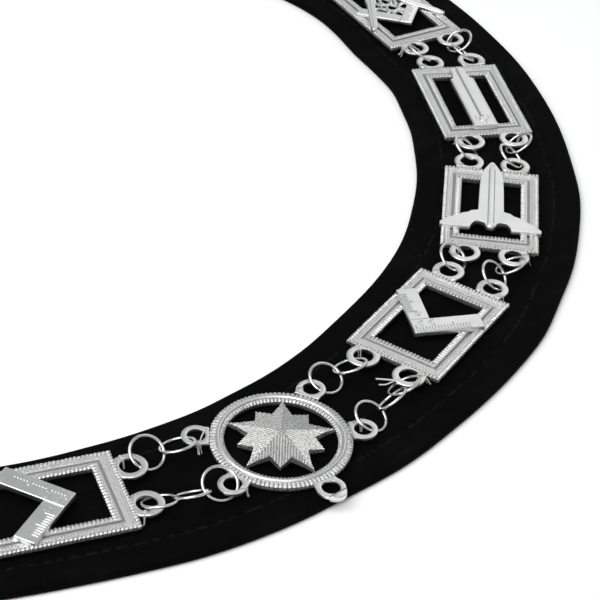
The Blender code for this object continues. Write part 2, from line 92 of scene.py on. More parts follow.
class PlateSizes(bpy.types.PropertyGroup):
    """The cast plates and what lies on them."""

    width: length("Width", "Width of a plate", 34.5)
    height: length("Length", "Length of a plate along the chain", 50.0)
    side_bar: length("Side bar", "Width of the frame's long bars", 6.5)
    end_bar: length("End bar", "Width of the frame's short bars", 7.4)
    foot: length("Foot height", "Height of the underside over the table", 2.8)
    channel: length("Channel height", "Height of the flat channel between the rims", 5.0)
    rim: length("Rim height", "Height of the toothed rims", 5.7)
    emblem: length("Emblem height", "Height of the emblems' flat tops", 6.9)
    outer_tooth: length("Outer teeth", "Width of the outer toothed rim", 1.4)
    inner_tooth: length("Inner teeth", "Width of the inner toothed rim", 2.1)
    pitch: length("Pitch", "Distance from tooth to tooth", 1.265)
    groove: length("Groove", "Width of the groove beside the inner toothed rim", 1.2)
    hatch: length("Hatching", "Distance between the strokes on the frame's flats", 0.78)


class EyeSizes(bpy.types.PropertyGroup):
    """The flat eyes that the rings pass through."""

    outer: length("Outer diameter", "Eye of a plate across the outside", 10.6)
    hole: length("Hole", "Eye of a plate across its hole", 6.8)
    lip: length("Lip", "What the cast eye has more of metal on each side of its band", 0.15)
    medal_outer: length("Medallion eye", "Eye of the medallion across the outside", 9.0)
    medal_hole: length("Medallion hole", "Eye of the medallion across its hole", 6.0)
    reach: length("Reach", "Centre of an eye from the edge it stands on", 3.8)
    spread: length("Spread", "Distance between the two eyes of a short side", 17.0)
    top: length("Top", "Height of the eyes' flat tops", 5.65)
    thickness: length("Thickness", "Thickness of an eye", 0.8)


class MedalSizes(bpy.types.PropertyGroup):
    """The medallion and its star."""

    outer: length("Diameter", "Across the toothed ring", 44.4)
    opening: length("Opening", "Across the ring's opening", 35.0)
    teeth: bpy.props.IntProperty(name="Teeth", description="Teeth round each edge", default=99, min=12, max=240)
    turn: bpy.props.FloatProperty(
        name="Turn", description="Turn of the star and the eyes", default=math.radians(-4.0), subtype="ANGLE"
    )
    long_ray: length("Long rays", "Centre to tip of the pointed rays", 17.6)
    short_ray: length("Short rays", "Centre to tip of the blunt rays", 14.0)
    valley: length("Valleys", "Centre to the corners between rays", 10.2)
    ridge: length("Ridges", "Distance between the ridges on a ray", 0.86)


class RingSizes(bpy.types.PropertyGroup):
    """The jump rings."""

    outer: length("Diameter", "Outer diameter of a ring", 11.8)
    largest: length("Largest diameter", "Outer diameter of a ring where the usual one is too short", 13.4)
    wire: length("Wire", "Diameter of the wire", 1.0)
    gap: length("Gap", "Clearance between a ring and the cloth or an eye", 0.12)
    press: length("Press", "Most that a ring may press into the rim of an eye", 0.12)
    weld: share("Weld", "Distance that two wires run into each other, in wires", 0.75)


class Finishes(bpy.types.PropertyGroup):
    """Colours and gloss."""

    silver: colour("Silver", "High places of the castings", (0.79, 0.79, 0.785))
    tarnish: colour("Tarnish", "Low places of the castings", (0.40, 0.395, 0.385))
    wire: colour("Wire", "Jump rings", (0.80, 0.80, 0.795))
    velvet: colour("Velvet", "Pile seen from above", (0.0011, 0.0011, 0.0013))
    nap: colour("Nap", "Brushed patches of the pile", (0.0042, 0.0042, 0.0048))
    thread: colour("Thread", "Sewing thread", (0.72, 0.72, 0.70))
    floor: colour("Floor", "Paper under the collar", (0.98, 0.98, 0.98))
    gloss: share("Roughness", "Roughness of the polished places", 0.26)


SETTINGS = {
    "collar_plate": PlateSizes,
    "collar_eye": EyeSizes,
    "collar_medal": MedalSizes,
    "collar_ring": RingSizes,
    "collar_finish": Finishes,
}


def mm(group, *names):
    """Lengths of a property group in millimetres: a number for one name, a list for several."""
    values = [getattr(group, name) / MM for name in names]
    return values[0] if len(names) == 1 else values


# Surfaces


class Skin:
    """Collects grids of points into closed shells and turns each shell's faces outwards."""

    def __init__(self):
        self.points = []
        self.marks = []
        self.grains = []
        self.corners = []
        self.sizes = []
        self.count = 0

    def grid(self, rows, ring=False, mark=0.0, grain=0.0):
        """A closed shell over rows of points, each row a closed loop of equal length. The rows close into a
        ring, or the first and last are capped with a face. mark and grain are one number for the shell, or
        one for each point. Quad (i, j) joins row i to row i + 1 between the points j and j + 1. A shell whose
        signed volume, a sixth of the sum of a . (b x c) over the fans of its faces, is negative has every face
        turned round."""
        rows = np.asarray(rows, dtype=float)
        count, around = rows.shape[:2]
        flat = rows.reshape(-1, 3)
        index = np.arange(count * around).reshape(count, around)
        upper = np.roll(index, -1, axis=0) if ring else index[1:]
        lower = index if ring else index[:-1]
        quads = np.stack([lower, np.roll(lower, -1, 1), np.roll(upper, -1, 1), upper], -1).reshape(-1, 4)
        caps = [] if ring else [index[0][::-1], index[-1]]
        a, b, c, d = (flat[quads[:, k]] for k in range(4))
        volume = np.einsum("ij,ij->", a, np.cross(b, c)) + np.einsum("ij,ij->", a, np.cross(c, d))
        for cap in caps:
            first, rest = flat[cap[0]], flat[cap[1:]]
            volume += (np.cross(rest[:-1], rest[1:]) @ first).sum()
        if volume < 0:
            quads = quads[:, ::-1]
            caps = [cap[::-1] for cap in caps]
        self.points.append(flat)
        self.marks.append(np.broadcast_to(mark, (count, around)).ravel())
        self.grains.append(np.broadcast_to(grain, (count, around)).ravel())
        self.corners.append(quads.ravel() + self.count)
        self.sizes.append(np.full(len(quads), 4))
        for cap in caps:
            self.corners.append(cap + self.count)
            self.sizes.append(np.array([around]))
        self.count += len(flat)

    def mesh(self, name, crisp=CRISP):
        """The shells as one mesh, with marks and grains as attributes of its points."""
        made = bpy.data.meshes.new(name)
        points = np.concatenate(self.points) * MM
        corners = np.concatenate(self.corners)
        sizes = np.concatenate(self.sizes)
        made.vertices.add(len(points))
        made.vertices.foreach_set("co", points.ravel())
        made.loops.add(len(corners))
        made.loops.foreach_set("vertex_index", corners.astype(np.int32))
        made.polygons.add(len(sizes))
        made.polygons.foreach_set("loop_start", (np.cumsum(sizes) - sizes).astype(np.int32))
        made.update(calc_edges=True)
        for label, values in (("mark", self.marks), ("grain", self.grains)):
            made.attributes.new(label, "FLOAT", "POINT").data.foreach_set("value", np.concatenate(values))
        made.set_sharp_from_angle(angle=crisp)
        made.polygons.foreach_set("use_smooth", sizes == 4)
        return made


def smooth_closed(values, spread):
    """Values on even steps round a loop, averaged with a bell curve of that spread in steps."""
    count = len(values)
    steps = np.minimum(np.arange(count), count - np.arange(count))
    bell = np.exp(-0.5 * (steps / spread) ** 2)
    return np.fft.ifft(np.fft.fft(values) * np.fft.fft(bell / bell.sum())).real


def soften(outline, radius, steps=2):
    """The outline with each corner replaced by the curve (1-t)^2 a + 2 t (1-t) corner + t^2 b, where a and b
    lie at the given radius from the corner on its two sides, or at 0.45 of a shorter side."""
    outline = np.asarray(outline, dtype=float)
    before, after = np.roll(outline, 1, 0) - outline, np.roll(outline, -1, 0) - outline
    lengths = [np.hypot(*side.T)[:, None] for side in (before, after)]
    a = outline + before * np.minimum(radius / lengths[0], 0.45)
    b = outline + after * np.minimum(radius / lengths[1], 0.45)
    t = np.linspace(0.0, 1.0, steps + 1)[None, :, None]
    curve = (1 - t) ** 2 * a[:, None] + 2 * t * (1 - t) * outline[:, None] + t**2 * b[:, None]
    return curve.reshape(-1, 2)


def inset(outline, distance):
    """Every point moved inwards along the bisector of its two sides, at most 2.5 times the distance."""
    ahead = np.roll(outline, -1, 0) - outline
    behind = outline - np.roll(outline, 1, 0)
    ahead /= np.maximum(np.hypot(*ahead.T)[:, None], 1e-9)
    behind /= np.maximum(np.hypot(*behind.T)[:, None], 1e-9)
    x, y = outline.T
    area = np.dot(x, np.roll(y, -1)) - np.dot(y, np.roll(x, -1))
    turn = 1.0 if area > 0 else -1.0
    normals = [turn * np.c_[-side[:, 1], side[:, 0]] for side in (behind, ahead)]
    middle = normals[0] + normals[1]
    scale = 2.0 / np.maximum((middle**2).sum(1, keepdims=True), 0.32)
    return outline + distance * middle * scale


def unit(vector):
    """A direction in plan at length 1."""
    return np.asarray(vector, dtype=float) / np.hypot(*vector)


def turns(steps):
    """Even angles round a full turn."""
    return 2 * math.pi * np.arange(steps) / steps


def polar(radius, angle):
    """Points in plan, (radius cos a, radius sin a)."""
    return np.stack([radius * np.cos(angle), radius * np.sin(angle)], -1)


def oval(middle, wide, high, steps):
    """An ellipse in plan, (wide cos a, high sin a) round its middle."""
    return middle + polar(1.0, turns(steps)) * (wide, high)


def turned(plan, angle):
    """Points in plan turned about the origin: (x cos a - y sin a, x sin a + y cos a)."""
    c, s = math.cos(angle), math.sin(angle)
    return plan @ np.array([[c, s], [-s, c]])


def at_height(plan, height):
    """Points in plan raised to one height, or each to its own."""
    return np.concatenate([plan, np.broadcast_to(height, plan.shape[:-1])[..., None]], -1)


def cast_slab(skin, outline, low, high, bevel=0.3, mark=0.0):
    """A flat casting: its outline at the underside, the foot of the bevel and, moved inwards along a quarter
    circle, the edge of the top."""
    rows = [at_height(outline, low), at_height(outline, high - bevel)]
    for angle in np.radians((30.0, 60.0, 90.0)):
        edge = inset(outline, bevel * (1 - math.cos(angle)))
        rows.append(at_height(edge, high - bevel * (1 - math.sin(angle))))
    skin.grid(rows, mark=mark)


def raised_line(skin, start, end, width, top, proud, bevel, mark=0.0, sunk=0.3):
    """A straight strip cast on a flat: half its width to each side of the line from start to end, from sunk
    under the flat's top to proud above it."""
    start, end = np.asarray(start, dtype=float), np.asarray(end, dtype=float)
    along = unit(end - start)
    across = np.array([-along[1], along[0]]) * width / 2
    outline = np.array([start - across, end - across, end + across, start + across])
    cast_slab(skin, outline, top - sunk, top + proud, bevel, mark)


def wire_circles(path, radius, first, second, sides):
    """At each point of a path the circle radius (first cos a + second sin a)."""
    angle = turns(sides)[None, :, None]
    return path[:, None] + radius * (first[:, None] * np.cos(angle) + second[:, None] * np.sin(angle))


def tube(skin, path, radius, sides=8, ring=False, flat=1.0, mark=0.0):
    """A round wire along a path: circles of the given radius in the plane across the path, spanned by the
    level direction across it and the direction square to both; flat shortens the second one."""
    path = np.asarray(path, dtype=float)
    along = np.roll(path, -1, 0) - np.roll(path, 1, 0) if ring else np.gradient(path, axis=0)
    along /= np.linalg.norm(along, axis=1)[:, None]
    level = np.cross(along, (0.0, 0.0, 1.0))
    size = np.linalg.norm(level, axis=1)[:, None]
    level = np.where(size > 1e-6, level / np.maximum(size, 1e-9), (1.0, 0.0, 0.0))
    circles = wire_circles(path, radius, level, flat * np.cross(level, along), sides)
    skin.grid(circles, ring=ring, mark=mark)


# Teeth

# Where the points of a tooth, and of a stroke of the hatching, lie in it
TOOTH_SHARES = np.array([0.0, 0.1, 0.28, 0.5, 0.72, 0.9])
HATCH_SHARES = np.array([0.0, 0.35, 0.65])


def tooth_heights(count, shares=TOOTH_SHARES):
    """Places along a row of teeth in teeth, and 2 sqrt(p (1 - p)) there for the share p of a tooth: a row of
    half circles that touch, each one lower than the full height by up to a quarter at random."""
    along = np.append((np.arange(count)[:, None] + shares[None, :]).ravel(), count)
    part = along - np.floor(along)
    uneven = 1 - 0.25 * np.random.default_rng(count).random(count + 1)
    return along, 2 * np.sqrt(part * (1 - part)) * uneven[np.floor(along).astype(int)]


def gap_ink(height):
    """Painted shade of a row of teeth at a height: 1 in the gaps, falling to 0 from two thirds of the way up."""
    return np.clip((0.66 - height) / 0.5, 0.0, 1.0)[:, None]


def tooth_section(height, width, low, base, rise, scallop, drop=0.0):
    """Section across a row of teeth, for each height t from 0 in the gaps to 1 on the crests: (distance from
    the free edge, height), the free edge drawn back by scallop (1 - t), the crest at base + rise t and lower
    by drop at the free edge."""
    still = np.zeros_like(height)
    free = scallop * (1 - height)
    crest = base + rise * height
    section = (
        (free, still + low),
        (free, crest - 0.42 * rise - drop),
        (free + 0.32, crest - 0.06 - 0.8 * drop),
        (still + 0.55 * width, crest - 0.3 * drop),
        (still + width - 0.2, crest - 0.1),
        (still + width, still + base - 0.1),
        (still + width, still + low),
    )
    return [np.stack(column, 1) for column in zip(*section)]


def toothed_bar(
    skin, start, end, inward, width, low, base, rise, pitch, scallop=0.3, shares=TOOTH_SHARES, ink=0.55
):
    """A straight row of teeth from start to end, its section carried along it and widening inwards, with painted
    shade in the gaps between the teeth.
    """
    start, end, inward = (np.asarray(value, dtype=float) for value in (start, end, inward))
    span = end - start
    along, height = tooth_heights(max(1, round(float(np.hypot(*span)) / pitch)), shares)
    across, levels = tooth_section(height, width, low, base, rise, scallop)
    line = start + span * (along / along[-1])[:, None]
    plan = line[:, None] + across[..., None] * inward
    # The gaps between the teeth are darkened with painted shade.
    skin.grid(at_height(plan, levels), mark=ink * gap_ink(height), grain=1.0)


def toothed_sides(skin, short, long, facing, widths, **section):
    """Rows of teeth along the four sides of a rectangle. short and long are the (x, y) at which a row on its
    short and on its long sides ends; facing is -1 where the rows widen inwards from there."""
    for side in (1.0, -1.0):
        x, y = short
        toothed_bar(skin, (-x, side * y), (x, side * y), (0.0, facing * side), widths[0], **section)
        x, y = long
        toothed_bar(skin, (side * x, -y), (side * x, y), (facing * side, 0.0), widths[1], **section)


def toothed_ring(skin, radius, outwards, count, width, low, base, rise, scallop, drop):
    """A row of teeth round a circle; the free edge is at the given radius and faces outwards or inwards."""
    along, height = tooth_heights(count)
    across, levels = tooth_section(height[:-1], width, low, base, rise, scallop, drop)
    reach = radius - across if outwards else radius + across
    plan = polar(reach, 2 * math.pi * along[:-1, None] / count)
    # The gaps between the teeth are darkened with painted shade.
    skin.grid(at_height(plan, levels), ring=True, mark=0.6 * gap_ink(height[:-1]), grain=1.6)


# Plates

# Depth of the groove beside the inner rim
GROOVE_DEPTH = 0.32

# The dotted line on the flat: its distance from the frame's edge, its width, and the distance between dots
DOTS_INSET = 1.95
DOTS_WIDTH = 0.6
DOTS_PITCH = 0.95

# How far an emblem's walls reach down from its top
EMBLEM_DEPTH = 1.65


def frame_edges(sizes):
    """Half the width and length of a plate's frame, and of its window."""
    outside = np.array(mm(sizes, "width", "height")) / 2
    return outside, outside - mm(sizes, "side_bar", "end_bar")


def moulded_frame(skin, sizes):
    """The frame between its toothed rims: a section of (edge it hangs on, distance inwards, height) carried
    round the four corners: a broad flat, a groove beside the inner rim and a foot set back underneath."""
    outside, window = frame_edges(sizes)
    foot, channel, teeth, inner, groove = mm(sizes, "foot", "channel", "outer_tooth", "inner_tooth", "groove")
    bed = channel - GROOVE_DEPTH
    section = (
        (outside, 1.1, foot),
        (outside, 1.1, foot + 1.4),
        (outside, 0.6, foot + 1.5),
        (outside, 0.6, channel - 0.1),
        (outside, teeth + 0.2, channel),
        (window, -inner - groove, channel + 0.12),
        (window, -inner - groove + 0.18, bed),
        (window, -inner - 0.34, bed),
        (window, -inner - 0.2, channel + 0.3),
        (window, -inner + 0.06, channel + 0.36),
        (window, -0.4, channel - 0.2),
        (window, -0.4, foot + 1.5),
        (window, -1.0, foot + 1.4),
        (window, -1.0, foot),
    )
    edges, inwards, levels = (np.array(column) for column in zip(*section))
    corners = np.array([(1, 1), (-1, 1), (-1, -1), (1, -1)])
    plan = corners[:, None] * (edges - inwards[:, None])
    # The groove's floor gets a mark of painted shade.
    skin.grid(at_height(plan, levels), ring=True, mark=np.where(levels == bed, 0.5, 0.0), grain=0.85)


def frame_teeth(skin, sizes):
    """Rows of teeth along the four outer edges and round the window, and between them the hatching of the
    flats and a dotted line. The short rows run right across and the long ones fit between them."""
    (x, y), (window_x, window_y) = frame_edges(sizes)
    outer, inner, pitch, groove = mm(sizes, "outer_tooth", "inner_tooth", "pitch", "groove")
    foot, channel, rim, hatch = mm(sizes, "foot", "channel", "rim", "hatch")
    low = foot + 1.35
    # Each row below darkens the gaps between its teeth, strokes or dots with painted shade.
    toothed_sides(
        skin, (x, y), (x, y - outer), -1, (outer, outer),
        low=low, base=channel + 0.05, rise=rim - channel - 0.2, pitch=pitch,
    )
    near_x, near_y = x - outer + 0.05, y - outer + 0.05
    wide_x = near_x - window_x - inner - groove
    wide_y = near_y - window_y - inner - groove
    toothed_sides(
        skin, (near_x, near_y), (near_x, near_y - wide_y), -1, (wide_y, wide_x),
        low=channel - 0.3, base=channel + 0.14, rise=0.11, pitch=hatch, scallop=0.0, shares=HATCH_SHARES, ink=0.05,
    )
    line_x, line_y = x - DOTS_INSET, y - DOTS_INSET
    toothed_sides(
        skin, (line_x, line_y), (line_x, line_y - DOTS_WIDTH), -1, (DOTS_WIDTH, DOTS_WIDTH),
        low=channel - 0.3, base=channel + 0.1, rise=0.4, pitch=DOTS_PITCH, scallop=0.12, shares=HATCH_SHARES, ink=0.6,
    )
    toothed_sides(
        skin, (window_x + inner, window_y), (window_x, window_y), 1, (inner, inner),
        low=low, base=channel, rise=0.55, pitch=pitch, scallop=0.25,
    )


def flat_eye(skin, eyes, kind, centre, outward):
    """A flat ring with crisp edges on a broad neck, cut straight where it meets the casting. On the casting's
    side its outer radius at angle a is the larger of the round one and the neck's half width / |cos a|, and
    at most (reach + 0.1) / |sin a|."""
    outer, hole, lip = mm(eyes, kind + "outer", kind + "hole", "lip")
    reach, top, thickness = mm(eyes, "reach", "top", "thickness")
    outer, hole = outer + 2 * lip, hole - 2 * lip
    angle = turns(40)
    cosine, sine = np.cos(angle), np.sin(angle)
    neck = 0.43 * outer / np.maximum(np.abs(cosine), 1e-6)
    cut = (reach + 0.1) / np.maximum(-sine, 1e-6)
    edge = np.where(sine < -0.01, np.minimum(np.maximum(outer / 2, neck), cut), outer / 2)
    low = top - thickness - 0.3
    shares = np.array([0.0, 0.0, 0.05, 0.16, 0.80, 0.93, 1.0, 1.0, 0.9, 0.1])
    levels = np.array([low + 0.2, top - 0.2, top - 0.05, top, top, top - 0.05, top - 0.22, low + 0.2, low, low])
    spread = hole / 2 + shares * (edge[:, None] - hole / 2)
    side = np.array([outward[1], -outward[0]])
    plan = centre + spread[..., None] * (cosine[:, None, None] * side + sine[:, None, None] * outward)
    skin.grid(at_height(plan, levels), ring=True, grain=0.3)


def plate_eye(plate, eyes, side, end):
    """Centre of one of a plate's eyes; side and end are 1 or -1."""
    return np.array([side * mm(eyes, "spread") / 2, end * (mm(plate, "height") / 2 + mm(eyes, "reach"))])


def plate_eyes(skin, plate, eyes):
    """Two flat eyes on each short side of a plate."""
    for end in (1.0, -1.0):
        for side in (1.0, -1.0):
            flat_eye(skin, eyes, "", plate_eye(plate, eyes, side, end), np.array([0.0, end]))


# Directions of the two blades of a square from their corner
RIGHT = np.array([1.0, 1.0]) / math.sqrt(2)
LEFT = RIGHT * (-1, 1)

# Distance between the raised marks along a blade
MARK_PITCH = 1.06


def blades(skin, corner, arm, width, gap, rounding, low, tops, scales, reaches):
    """The two blades of a square: the right one takes in the corner, and the left one butts against it. Short
    raised marks at even distances run along the outer edge of each, every sixth or fifth of them longer."""
    for along, across, foot, top, scale, every in (
        (RIGHT, LEFT, 0.0, tops[0], scales[0], 6),
        (LEFT, RIGHT, width + gap, tops[1], scales[1], 5),
    ):
        near, far = corner + foot * along, corner + arm * along
        outline = [near, far, far + width * across, near + width * across]
        cast_slab(skin, soften(outline, rounding), low, top)
        for k, place in enumerate(np.arange(*scale, MARK_PITCH)):
            start = corner + place * along + 0.45 * across
            end = start + reaches[int(k % every == 0)] * across
            raised_line(skin, start, end, 0.46, top, proud=0.26, bevel=0.14, mark=0.06, sunk=0.2)


def scroll(skin, centre, along, across, size, top):
    """A generic scroll: a curl whose radius falls evenly to a third while its angle grows by a turn and a
    fifth, with a short tail along the blade."""
    t = np.linspace(0.0, 1.0, 26)[:, None]
    angle = math.pi * (0.55 + 2.4 * t)
    curl = size * (1 - 0.66 * t)
    spiral = centre + curl * (np.cos(angle) * along + np.sin(angle) * across)
    tail = spiral[:1] + np.array([0.9, 0.45])[:, None] * size * along + 0.12 * size * across
    path = np.concatenate([tail, spiral])
    tube(skin, at_height(path, top + 0.02), 0.17, sides=6, mark=0.12)


def square_emblem(skin, top):
    """A square: two blades with marks and scrolls, and a raised seam where they meet."""
    corner, width, gap = np.array([0.0, -10.0]), 7.0, 0.08
    tops = (top + 0.08, top - 0.04)
    blades(
        skin, corner, arm=24.0, width=width, gap=gap, rounding=0.35, low=top - EMBLEM_DEPTH, tops=tops,
        scales=((1.3, 20.0), (11.4, 21.5)), reaches=(2.2, 3.4),
    )
    for place in (3.3, 6.9):
        scroll(skin, corner + place * RIGHT + 4.6 * LEFT, RIGHT, LEFT, 1.25, tops[0])
    scroll(skin, corner + 9.9 * LEFT + 3.4 * RIGHT, LEFT, RIGHT, 1.1, tops[1])
    seam = corner + (width + gap) * LEFT
    raised_line(
        skin, seam + 0.2 * RIGHT, seam + (width - 0.2) * RIGHT, 0.26, top, proud=0.16, bevel=0.1, mark=0.1
    )


# Half outlines of the emblems that are alike on both sides
LEVEL_HALF = np.array(
    (
        (0.5, 27.6), (0.95, 26.8), (1.8, 25.1), (2.5, 23.6), (3.1, 22.1), (3.6, 20.1), (4.0, 17.6), (4.2, 15.0),
        (4.4, 10.0), (4.6, -4.1), (7.1, -4.9), (8.2, -6.2), (9.7, -6.7), (12.3, -8.6), (15.1, -10.6), (18.0, -13.5),
        (18.0, -15.2), (7.2, -15.2), (7.0, -13.9), (6.2, -12.3), (5.3, -11.2), (3.6, -11.0), (2.3, -11.9),
        (1.9, -13.0), (1.55, -13.9), (0.9, -14.4),
    )
)
PLUMB_HALF = np.array(((2.9, 21.4), (2.9, 16.8), (3.3, 15.2), (3.5, 13.9), (4.7, 13.4), (4.7, -20.9)))


def both_sides(half):
    """A closed outline from its half at +X."""
    return np.concatenate([half, (half * (-1.0, 1.0))[::-1]])


def level_emblem(skin, top):
    """A level: a broad foot with a notched edge under a long pointed bar, and a plumb line cast on its middle."""
    cast_slab(skin, soften(both_sides(LEVEL_HALF), 0.35, 3), top - EMBLEM_DEPTH, top, 0.16)
    for x in (1.06, -1.06):
        tip = (math.copysign(0.3, x), 26.2)
        raised_line(skin, (x, -12.6), (x, 22.0), 0.26, top, proud=0.015, bevel=0.01, mark=1.0)
        raised_line(skin, (x, 22.0), tip, 0.22, top, proud=0.015, bevel=0.01, mark=0.8)
    raised_line(skin, (0.0, -13.6), (0.0, 24.4), 1.7, top, proud=0.14, bevel=0.14)
    cast_slab(skin, oval((0.0, -12.9), 1.5, 1.4, 20), top - 1.4, top + 0.3, 0.4)


def plumb_emblem(skin, top):
    """A plumb rule: a straight board that narrows at the far end, with a line and a bob down its middle."""
    cast_slab(skin, soften(both_sides(PLUMB_HALF), 0.4), top - EMBLEM_DEPTH, top)
    tube(skin, [(0.0, y, top - 0.08) for y in np.linspace(-14.4, 20.4, 18)], 0.85, sides=12, flat=0.75)
    for y, radius in ((-16.4, 1.7), (-18.7, 0.9)):
        cast_slab(skin, oval((0.0, y), radius, 1.15 * radius, 18), top - 0.8, top + 0.4, 0.5)
    for side in (1.0, -1.0):
        raised_line(skin, (side * 2.5, -14.0), (side * 2.5, -16.2), 0.5, top, proud=0.18, bevel=0.1)
        raised_line(skin, (side * 4.1, -20.2), (side * 4.1, 12.8), 0.14, top, proud=0.03, bevel=0.01, mark=0.6)


def leaf_strap(skin, centre, size, turn, top, wire=0.75):
    """A closed strap round an opening, (a cos t, b sin t) turned in plan, with a drop-shaped end where
    the half width falls by a quarter towards one tip."""
    t = turns(28)
    local = np.c_[size[0] * np.cos(t), size[1] * np.sin(t) * (1 - 0.25 * np.cos(t))]
    tube(skin, at_height(turned(local, turn) + centre, top - wire), wire, ring=True)


def compasses_emblem(skin, top):
    """Compasses over a square with scrolled tracery between them, its openings left free. A leg's half width
    is read off along it, and a curl winds down beside the tracery on each side."""
    low = top - EMBLEM_DEPTH
    blades(
        skin, np.array([0.0, -13.0]), arm=23.0, width=5.0, gap=0.06, rounding=0.3, low=low,
        tops=(top - 0.35, top - 0.45), scales=((1.2, 20.0), (8.0, 20.0)), reaches=(1.3, 2.3),
    )
    hinge = np.array([0.0, 20.0])
    shares = np.array([0.0, 0.34, 0.42, 0.9, 1.0])[:, None]
    widths = np.array([2.1, 2.3, 1.8, 1.6, 0.7])[:, None]
    tracery = top - 0.3
    t = np.linspace(0.0, 1.0, 24)
    angle = math.pi * (0.1 + 1.5 * t)
    curl = np.c_[2.2 + 2.6 * t + 1.5 * np.sin(angle) * (1 - 0.5 * t), 10.5 - 7.0 * t + 0.8 * np.cos(angle)]
    for side in (1.0, -1.0):
        tip = np.array([side * 17.0, -11.6])
        run = unit(tip - hinge)
        across = widths * (-run[1], run[0])
        spine = hinge + shares * (tip - hinge)
        leg = np.concatenate([spine + across, (spine - across)[::-1]])
        cast_slab(skin, soften(leg, 0.4), low, top, 0.45)
        line = np.linspace(hinge + 2.0 * run, tip - 2.0 * run, 16)
        tube(skin, at_height(line, top - 0.08), 0.42, flat=0.6)
        tube(skin, at_height(curl * (side, 1.0), tracery - 0.7), 0.7)
    cast_slab(skin, oval(hinge, 3.2, 3.2, 28), low, top + 0.4, 0.5)
    cast_slab(skin, oval(hinge, 1.5, 1.5, 28), top, top + 0.75, 0.35)
    for centre, size, turn in (
        ((0.0, 1.7), (2.7, 2.3), 0.5),
        ((0.0, 7.2), (2.9, 2.1), 0.5),
        ((0.0, -4.0), (2.6, 2.0), -0.5),
        ((5.6, 0.8), (2.9, 2.2), 0.28),
        ((-5.6, 0.8), (2.9, 2.2), 0.72),
        ((0.0, 12.4), (2.6, 1.5), 0.5),
    ):
        leaf_strap(skin, centre, size, math.pi * turn, tracery)


EMBLEMS = {
    "square": square_emblem,
    "level": level_emblem,
    "plumb": plumb_emblem,
    "compasses": compasses_emblem,
}


def corner_cloud(node):
    """The node's vertices in millimetres, each once. A node's place is in its mesh."""
    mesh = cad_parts[node].data
    points = np.empty(3 * len(mesh.vertices))
    mesh.vertices.foreach_get("co", points)
    return np.unique(np.round(points.reshape(-1, 3) / MM, 3), axis=0)


def plate_place(node):
    """Centre and turn of a plate, from the corners of its underside: their average, and the direction in which
    they spread most, taken so that it points away from the medallion."""
    cloud = corner_cloud(node)
    foot = cloud[cloud[:, 2] < cloud[:, 2].min() + 0.01, :2]
    centre = foot.mean(0)
    along = np.linalg.eigh((foot - centre).T @ (foot - centre))[1][:, -1]
    onward = np.array([-centre[1], centre[0]]) * (1.0 if "right" in node else -1.0)
    if along @ onward < 0:
        along = -along
    return centre, math.atan2(along[1], along[0]) - math.pi / 2


def medal_place():
    """Centre of the medallion: under the highest point of its star."""
    cloud = corner_cloud(MEDALLION_NODE)
    return cloud[np.argmax(cloud[:, 2]), :2]


# Medallion

# The medallion's eyes in degrees round it
MEDAL_EYES = {
    "right_inner": 33.8,
    "right_outer": -21.6,
    "left_outer": 201.6,
    "left_inner": 146.2,
    "free": -90.0,
}

# Height of the ridges on the star
RIDGE_HEIGHT = 0.4


def medal_eye(name, medal, eyes):
    """Centre of an eye from the medallion's middle, and its direction from there."""
    turn = math.radians(MEDAL_EYES[name]) + medal.turn
    return polar(mm(medal, "outer") / 2 + mm(eyes, "reach"), turn), turn


def star_skin(sizes, low, rim, apex):
    """A five-sided pyramid cut out as a star: its crests run to the pointed rays and the blunt ones lie on the
    middles of its faces. On a face, s is the distance down its middle and v the distance from it; the face
    reaches from its crests, s = |v| / tan(36 degrees), to the outline. Its height falls evenly with s, and
    ridges |cos(pi v / pitch)|, some lower than others, run straight down it. The columns of the five faces
    make one loop, the wall and the underside close it, and the seams along the crests are merged afterwards."""
    half = math.pi / 5
    long_ray, short_ray, valley, pitch = mm(sizes, "long_ray", "short_ray", "valley", "ridge")
    reach, tip = long_ray * math.sin(half), long_ray * math.cos(half)
    ridges = 2 * round(reach / pitch)
    v = np.linspace(-reach, reach, 4 * ridges + 1)
    near = np.abs(v)
    corner = valley * polar(1.0, half / 2)
    edge = np.interp(
        near,
        [0.0, 0.9, 1.9, corner[1], 0.72 * reach, reach],
        [short_ray, short_ray - 1.3, short_ray - 2.5, corner[0], 0.80 * tip + 0.6, tip],
    )
    crest = near / math.tan(half)
    place = near * ridges / (2 * reach)
    ridge = np.abs(np.cos(math.pi * place))
    uneven = 1 - 0.5 * np.random.default_rng(ridges).random(ridges // 2 + 1)
    wave = RIDGE_HEIGHT * ridge * uneven[np.rint(place).astype(int)]
    s = crest[:, None] + (edge - crest)[:, None] * np.array([0.0, 0.05, 0.5, 1.0])
    z = apex - (apex - rim) / tip * s + wave[:, None] * np.minimum(1.0, s / 2.5)
    face = np.stack([s, np.broadcast_to(v[:, None], s.shape)], -1)
    axes = sizes.turn - math.pi / 2 + half * (2 * np.arange(5) + 1)
    loop = np.concatenate([at_height(turned(face, axis), z) for axis in axes])
    # The grooves between the ridges are darkened with painted shade, and the crests are darkened as well.
    grooves = np.tile(0.75 * np.clip(1 - 2.2 * ridge, 0.0, 1.0), 5)
    ink = np.stack([np.maximum(grooves, 0.42)] + [grooves] * loop.shape[1])
    made = Skin()
    made.grid([*loop.transpose(1, 0, 2), at_height(loop[:, -1, :2], low)], mark=ink, grain=1.7)
    return made


def free_eye_lip(skin, eyes, centre, turn):
    """A lens of metal on the free eye's far side: a straight edge with a line of painted shade along it, and a
    bow whose distance from the eye's middle is outer / 2 + 0.1 + 0.95 sin(pi t)."""
    outer, top = mm(eyes, "medal_outer", "top")
    t = np.linspace(0.0, 1.0, 17)
    angle = turn + np.radians(6.0 + 92.0 * (t - 0.5))
    bow = centre + polar(outer / 2 + 0.1 + 0.95 * np.sin(math.pi * t), angle)
    cast_slab(skin, bow, top - 1.5, top + 0.3, 0.35)
    # The line along the straight edge is painted shade.
    raised_line(skin, bow[0], bow[-1], 0.3, top, proud=0.32, bevel=0.02, mark=1.0)


